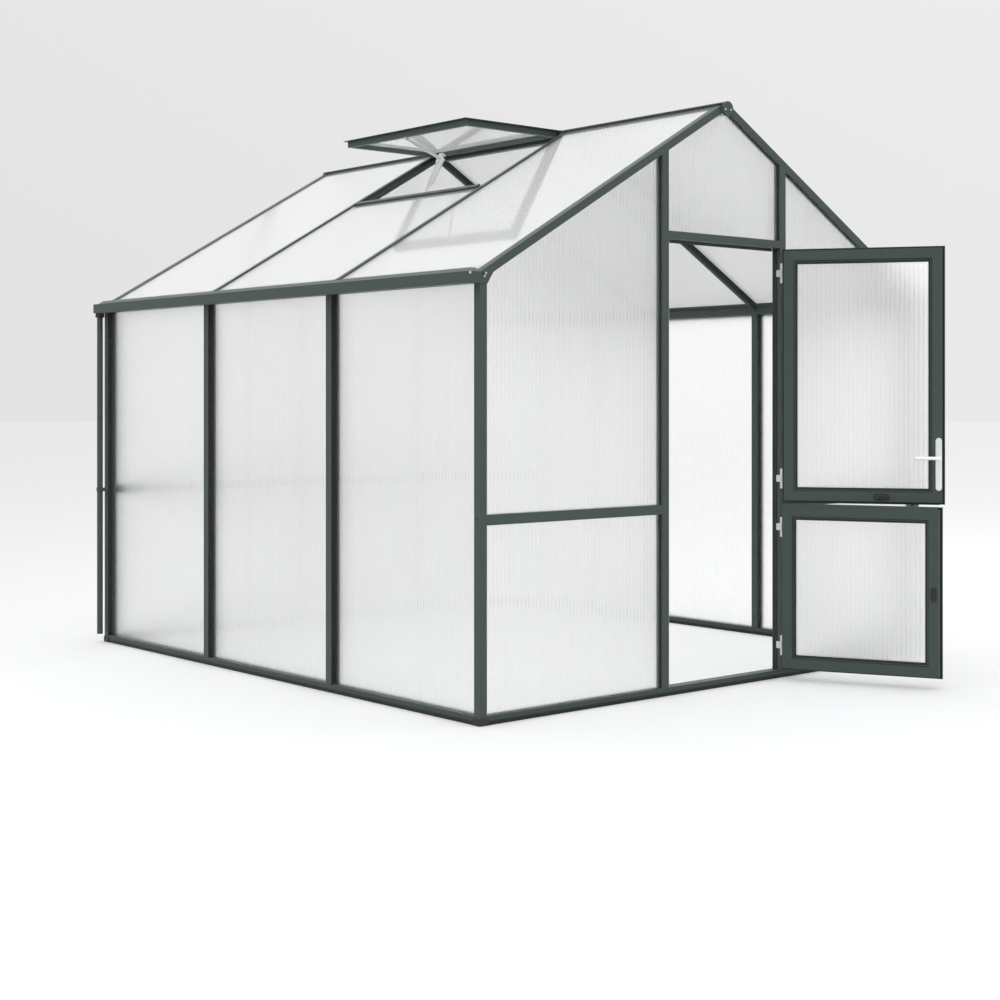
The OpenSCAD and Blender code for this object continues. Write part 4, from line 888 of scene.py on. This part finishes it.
inner_face = FRONT + LEAF_T
bolt_at = np.array([LEAF_RIGHT - 0.434, inner_face, 0.784 + FLANGE + BAR / 2])
catch_at = np.array([LEAF_LEFT + FLANGE + BAR / 2, inner_face, 0.406])
bolt_shells = [rounded_plate(0.030, 0.070, 0.0075, 0.003, bolt_at, Z, X, Y),
               thumb_slide(bolt_at + 0.007 * Y, X, Z, Y)]
catch_shells = [rounded_plate(0.026, 0.060, 0.0065, 0.003, catch_at, X, Z, Y),
                thumb_slide(catch_at + 0.006 * Y, Z, X, Y, length=0.028, depth=0.006)]
bolt = piece("leaf_bolt_moulded", [on_leaf(s, UPPER_OPEN) for s in bolt_shells], black_moulding,
             "upper_leaf")
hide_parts("leaf_bolt")
catch = piece("lower_catch_moulded", [on_leaf(s, LOWER_OPEN) for s in catch_shells], black_moulding,
              "lower_leaf")
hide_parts("lower_leaf_catch")


# %% [markdown]
# ## Screws
# A pan head is a turned profile: a dome from a formula, sunk to a small recess in the middle. Silver
# screws hold the plates at the eave's corners, the gutter's end and the ridge. A dark one sits beside
# them on each corner plate, and dark ones hold the rails to the posts.

# %% Screw heads
def screw(centre, axis, radius=0.0045, height=0.0026):
    """Dome of a pan head: height * sqrt(1 - (0.93 r)^2) over its radius, with a round recess in the middle."""
    r = np.array([1.0, 1.0, 0.94, 0.8, 0.6, 0.42, 0.36, 0.30, 0.05])
    h = np.sqrt(np.clip(1 - (r * 0.93) ** 2, 0, 1))
    h[0], h[-2:] = 0.0, h[5] - 0.45
    return turned(np.stack([r * radius, h * height], -1), centre, axis, 16)


# %% Screws on the house
PLATE_Y, POST_MIDDLE, RAIL_SCREW_Z, RIDGE_SCREW_X = 0.0025, 0.0175, 0.785, 0.017
PLATE_SCREWS, DARK_ONE, GUTTER_ONE = [(1.3614, 1.7223), (1.3679, 1.7109)], (1.3768, 1.7196), (1.4405, 1.7215)
silver_screws, dark_screws = [], []
for side in (-1, 1):
    for face_y, out in ((FRONT - PLATE_Y, -Y), (REAR + PLATE_Y, Y)):
        silver_screws += [screw((side * x, face_y, z), out) for x, z in PLATE_SCREWS]
        dark_screws.append(screw((side * DARK_ONE[0], face_y, DARK_ONE[1]), out, 0.005))
        edge_y = FRONT + POST_MIDDLE if face_y < 0 else REAR - POST_MIDDLE
        dark_screws.append(screw((side * HALF_W, edge_y, RAIL_SCREW_Z), side * X, 0.004, 0.0016))
    silver_screws.append(screw((side * GUTTER_ONE[0], FRONT - PLATE_Y, GUTTER_ONE[1]), -Y, 0.0055))
ridge_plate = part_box("ridge_end_plates")
ridge_z = ridge_plate[1].z - 0.036
for x in (-RIDGE_SCREW_X, RIDGE_SCREW_X):
    silver_screws.append(screw((x, ridge_plate[0].y, ridge_z), -Y))
    silver_screws.append(screw((x, ridge_plate[1].y, ridge_z), Y))
piece("screws_silver", silver_screws, bright_screw, "house", 50)
piece("screws_dark", dark_screws, dark_screw, "house", 50)

# %% Screws on the hinges
UPPER_HINGES, LOWER_HINGES = (0.889, 1.804), (0.146, 0.673)
block_screws = [screw((JAMB - 0.003, -0.012, z + dz), -X, 0.0032, 0.0012)
                for z in UPPER_HINGES + LOWER_HINGES for dz in (-0.008, 0.008)]
piece("screws_hinge_blocks", block_screws, bright_screw, "house", 50)
for leaf_name, heights, angle in (("upper_leaf", UPPER_HINGES, UPPER_OPEN), ("lower_leaf", LOWER_HINGES, LOWER_OPEN)):
    strap = [screw((LEAF_RIGHT - x, FRONT - 0.003, z + dz), -Y, 0.0036, 0.0014)
             for z in heights for x in (0.008, 0.017) for dz in (-0.030, 0.030)]
    piece(leaf_name + "_hinge_screws", [on_leaf(s, angle) for s in strap], bright_screw, leaf_name,
          50)

# %% [markdown]
# ## Downpipe collar
# Below the gutter the outlet is a ribbed black collar. Its radius is a circle plus a wave, so the ribs
# are part of the surface: r = r0 + rib * (cos(24 * turn) - 1) / 2, fading out at the top and bottom edge.

# %% Collar
COLLAR_R, COLLAR_BORE, COLLAR_HIGH, COLLAR_RIBS = 0.0209, 0.0205, 0.022, 24
outlet_low, outlet_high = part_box("downpipe")
outlet_x = (outlet_low.x + outlet_high.x) / 2
outlet_y = (outlet_low.y + outlet_high.y) / 2
turn = np.linspace(0, 2 * math.pi, 144, endpoint=False)
levels = np.array([0.0, 0.0015, 0.004, 0.018, 0.0205, 0.0218])
swell = np.array([0.0, 0.0016, 0.0016, 0.0016, 0.0016, 0.0006])
rib_depth = np.array([0.0, 0.0, 0.0011, 0.0011, 0.0, 0.0])
radius = COLLAR_R + swell[:, None] + rib_depth[:, None] * (np.cos(COLLAR_RIBS * turn) - 1) / 2
outer = np.stack([outlet_x + radius * np.cos(turn), outlet_y + radius * np.sin(turn),
                  np.broadcast_to(outlet_high.z - COLLAR_HIGH + levels[:, None], radius.shape)], -1)
inner = outer[::-1].copy()
inner[..., :2] = np.array([outlet_x, outlet_y]) + COLLAR_BORE * np.stack([np.cos(turn), np.sin(turn)], -1)
piece("outlet_collar", [tube(np.concatenate([outer, inner]), wrap=True)], black_moulding)

# %% [markdown]
# ## Opener fittings
# The vent's opener has round pivot caps at its elbow. They are small turned domes on both ends of the
# pin.

# %% Pivot caps
opener_low, opener_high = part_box("vent_opener")
opener_y = (opener_low.y + opener_high.y) / 2
cap = [(0.0062, 0.0), (0.0062, 0.0012), (0.0052, 0.0026), (0.0030, 0.0034), (0.0004, 0.0036)]
ELBOW_X, ELBOW_DROP, PIN_HALF = -0.382, 0.115, 0.030
elbow = np.array([ELBOW_X, opener_y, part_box("vent_frame")[1].z - ELBOW_DROP])
cap_shells = [turned(cap, elbow + side * PIN_HALF * Y, side * Y) for side in (-1, 1)]
piece("opener_caps", cap_shells, dark_screw, "house", 50)

# %% [markdown]
# ## Floor
# The floor is plain and pale. Near the house it is white, a painted pool of light, and far off it fades
# nearly to the tone of the backdrop, with a faint step at the horizon. Light Path gives this tone to what
# the camera sees, straight or through sheets and reflections. Like the backdrop it grows a little paler
# towards the picture's right, in a fan about the spot below the main view's camera. The spot is a fixed
# place on the floor, so the tone doesn't slide in other views. To bounced light the floor is a mid grey,
# because a white one would light the undersides as much as the tops. It is staged, so it isn't in the part.

# %% Floor
def floor_mesh(radius=90.0, rings=40, steps=96):
    """Rings of a flat disc, closer together near the middle: r = radius * t^2."""
    r = radius * np.linspace(0.02, 1, rings) ** 2
    turn = np.linspace(0, 2 * math.pi, steps, endpoint=False)
    points = np.stack([r[:, None] * np.cos(turn), r[:, None] * np.sin(turn), np.zeros((rings, steps))], -1)
    faces = grid_faces(rings, steps).tolist() + [list(range(steps))]
    return points.reshape(-1, 3) + np.array([0.0, 1.5, -0.0005]), faces


# Painted light: the floor's colour is white near BRIGHT_SPOT and fades as SPOT_GLOW / distance squared, a painted pool
# of light.
BRIGHT_SPOT, SPOT_GLOW = (1.0, -5.0, 0.0), 15.0
FAR_TONE, PALEST, BOUNCE_GREY = 0.765, 0.985, (0.30, 0.30, 0.30, 1.0)
floor_paint, tree, shader, place = start_material("studio_floor")
spot = place.outputs["Object"]
far_off = node(tree, "ShaderNodeVectorMath", operation="DISTANCE", i0=spot, i1=BRIGHT_SPOT)
squared = node(tree, "ShaderNodeMath", operation="POWER", i0=far_off.outputs["Value"], i1=2.0)
fall = node(tree, "ShaderNodeMath", operation="DIVIDE", i0=SPOT_GLOW, i1=squared.outputs[0])
from_camera = node(tree, "ShaderNodeVectorMath", operation="SUBTRACT", i0=spot,
                   i1=(camera.location.x, camera.location.y, 0.0))
heading = node(tree, "ShaderNodeVectorMath", operation="NORMALIZE", i0=from_camera.outputs[0])
floor_side = node(tree, "ShaderNodeVectorMath", operation="DOT_PRODUCT", i0=heading.outputs[0], i1=VIEW_RIGHT)
floor_right = node(tree, "ShaderNodeMath", operation="MULTIPLY_ADD", i0=floor_side.outputs["Value"], i1=SIDE_FALL,
                   i2=FAR_TONE)
tone = node(tree, "ShaderNodeMath", operation="ADD", i0=fall.outputs[0], i1=floor_right.outputs[0])
pale = node(tree, "ShaderNodeMath", operation="MINIMUM", i0=tone.outputs[0], i1=PALEST)
floor_tone = node(tree, "ShaderNodeMix", data_type="RGBA", Factor=seen_by(tree, "Camera", "Glossy", "Transmission"),
                  i6=BOUNCE_GREY, i7=pale.outputs[0])
speckle = node(tree, "ShaderNodeTexNoise", Vector=spot, Scale=2.0, Detail=2.0)
matt = node(tree, "ShaderNodeMapRange", Value=speckle.outputs["Fac"], To_Min=0.85, To_Max=0.95)
feed(shader, Base_Color=floor_tone.outputs[2], Roughness=matt.outputs[0], Specular_IOR_Level=0.0)
floor_points, floor_faces = floor_mesh()
floor_data = bpy.data.meshes.new("floor")
floor_data.from_pydata(floor_points.tolist(), [], floor_faces)
floor_data.materials.append(floor_paint)
floor = bpy.data.objects.new("floor", floor_data)
scene.collection.objects.link(floor)
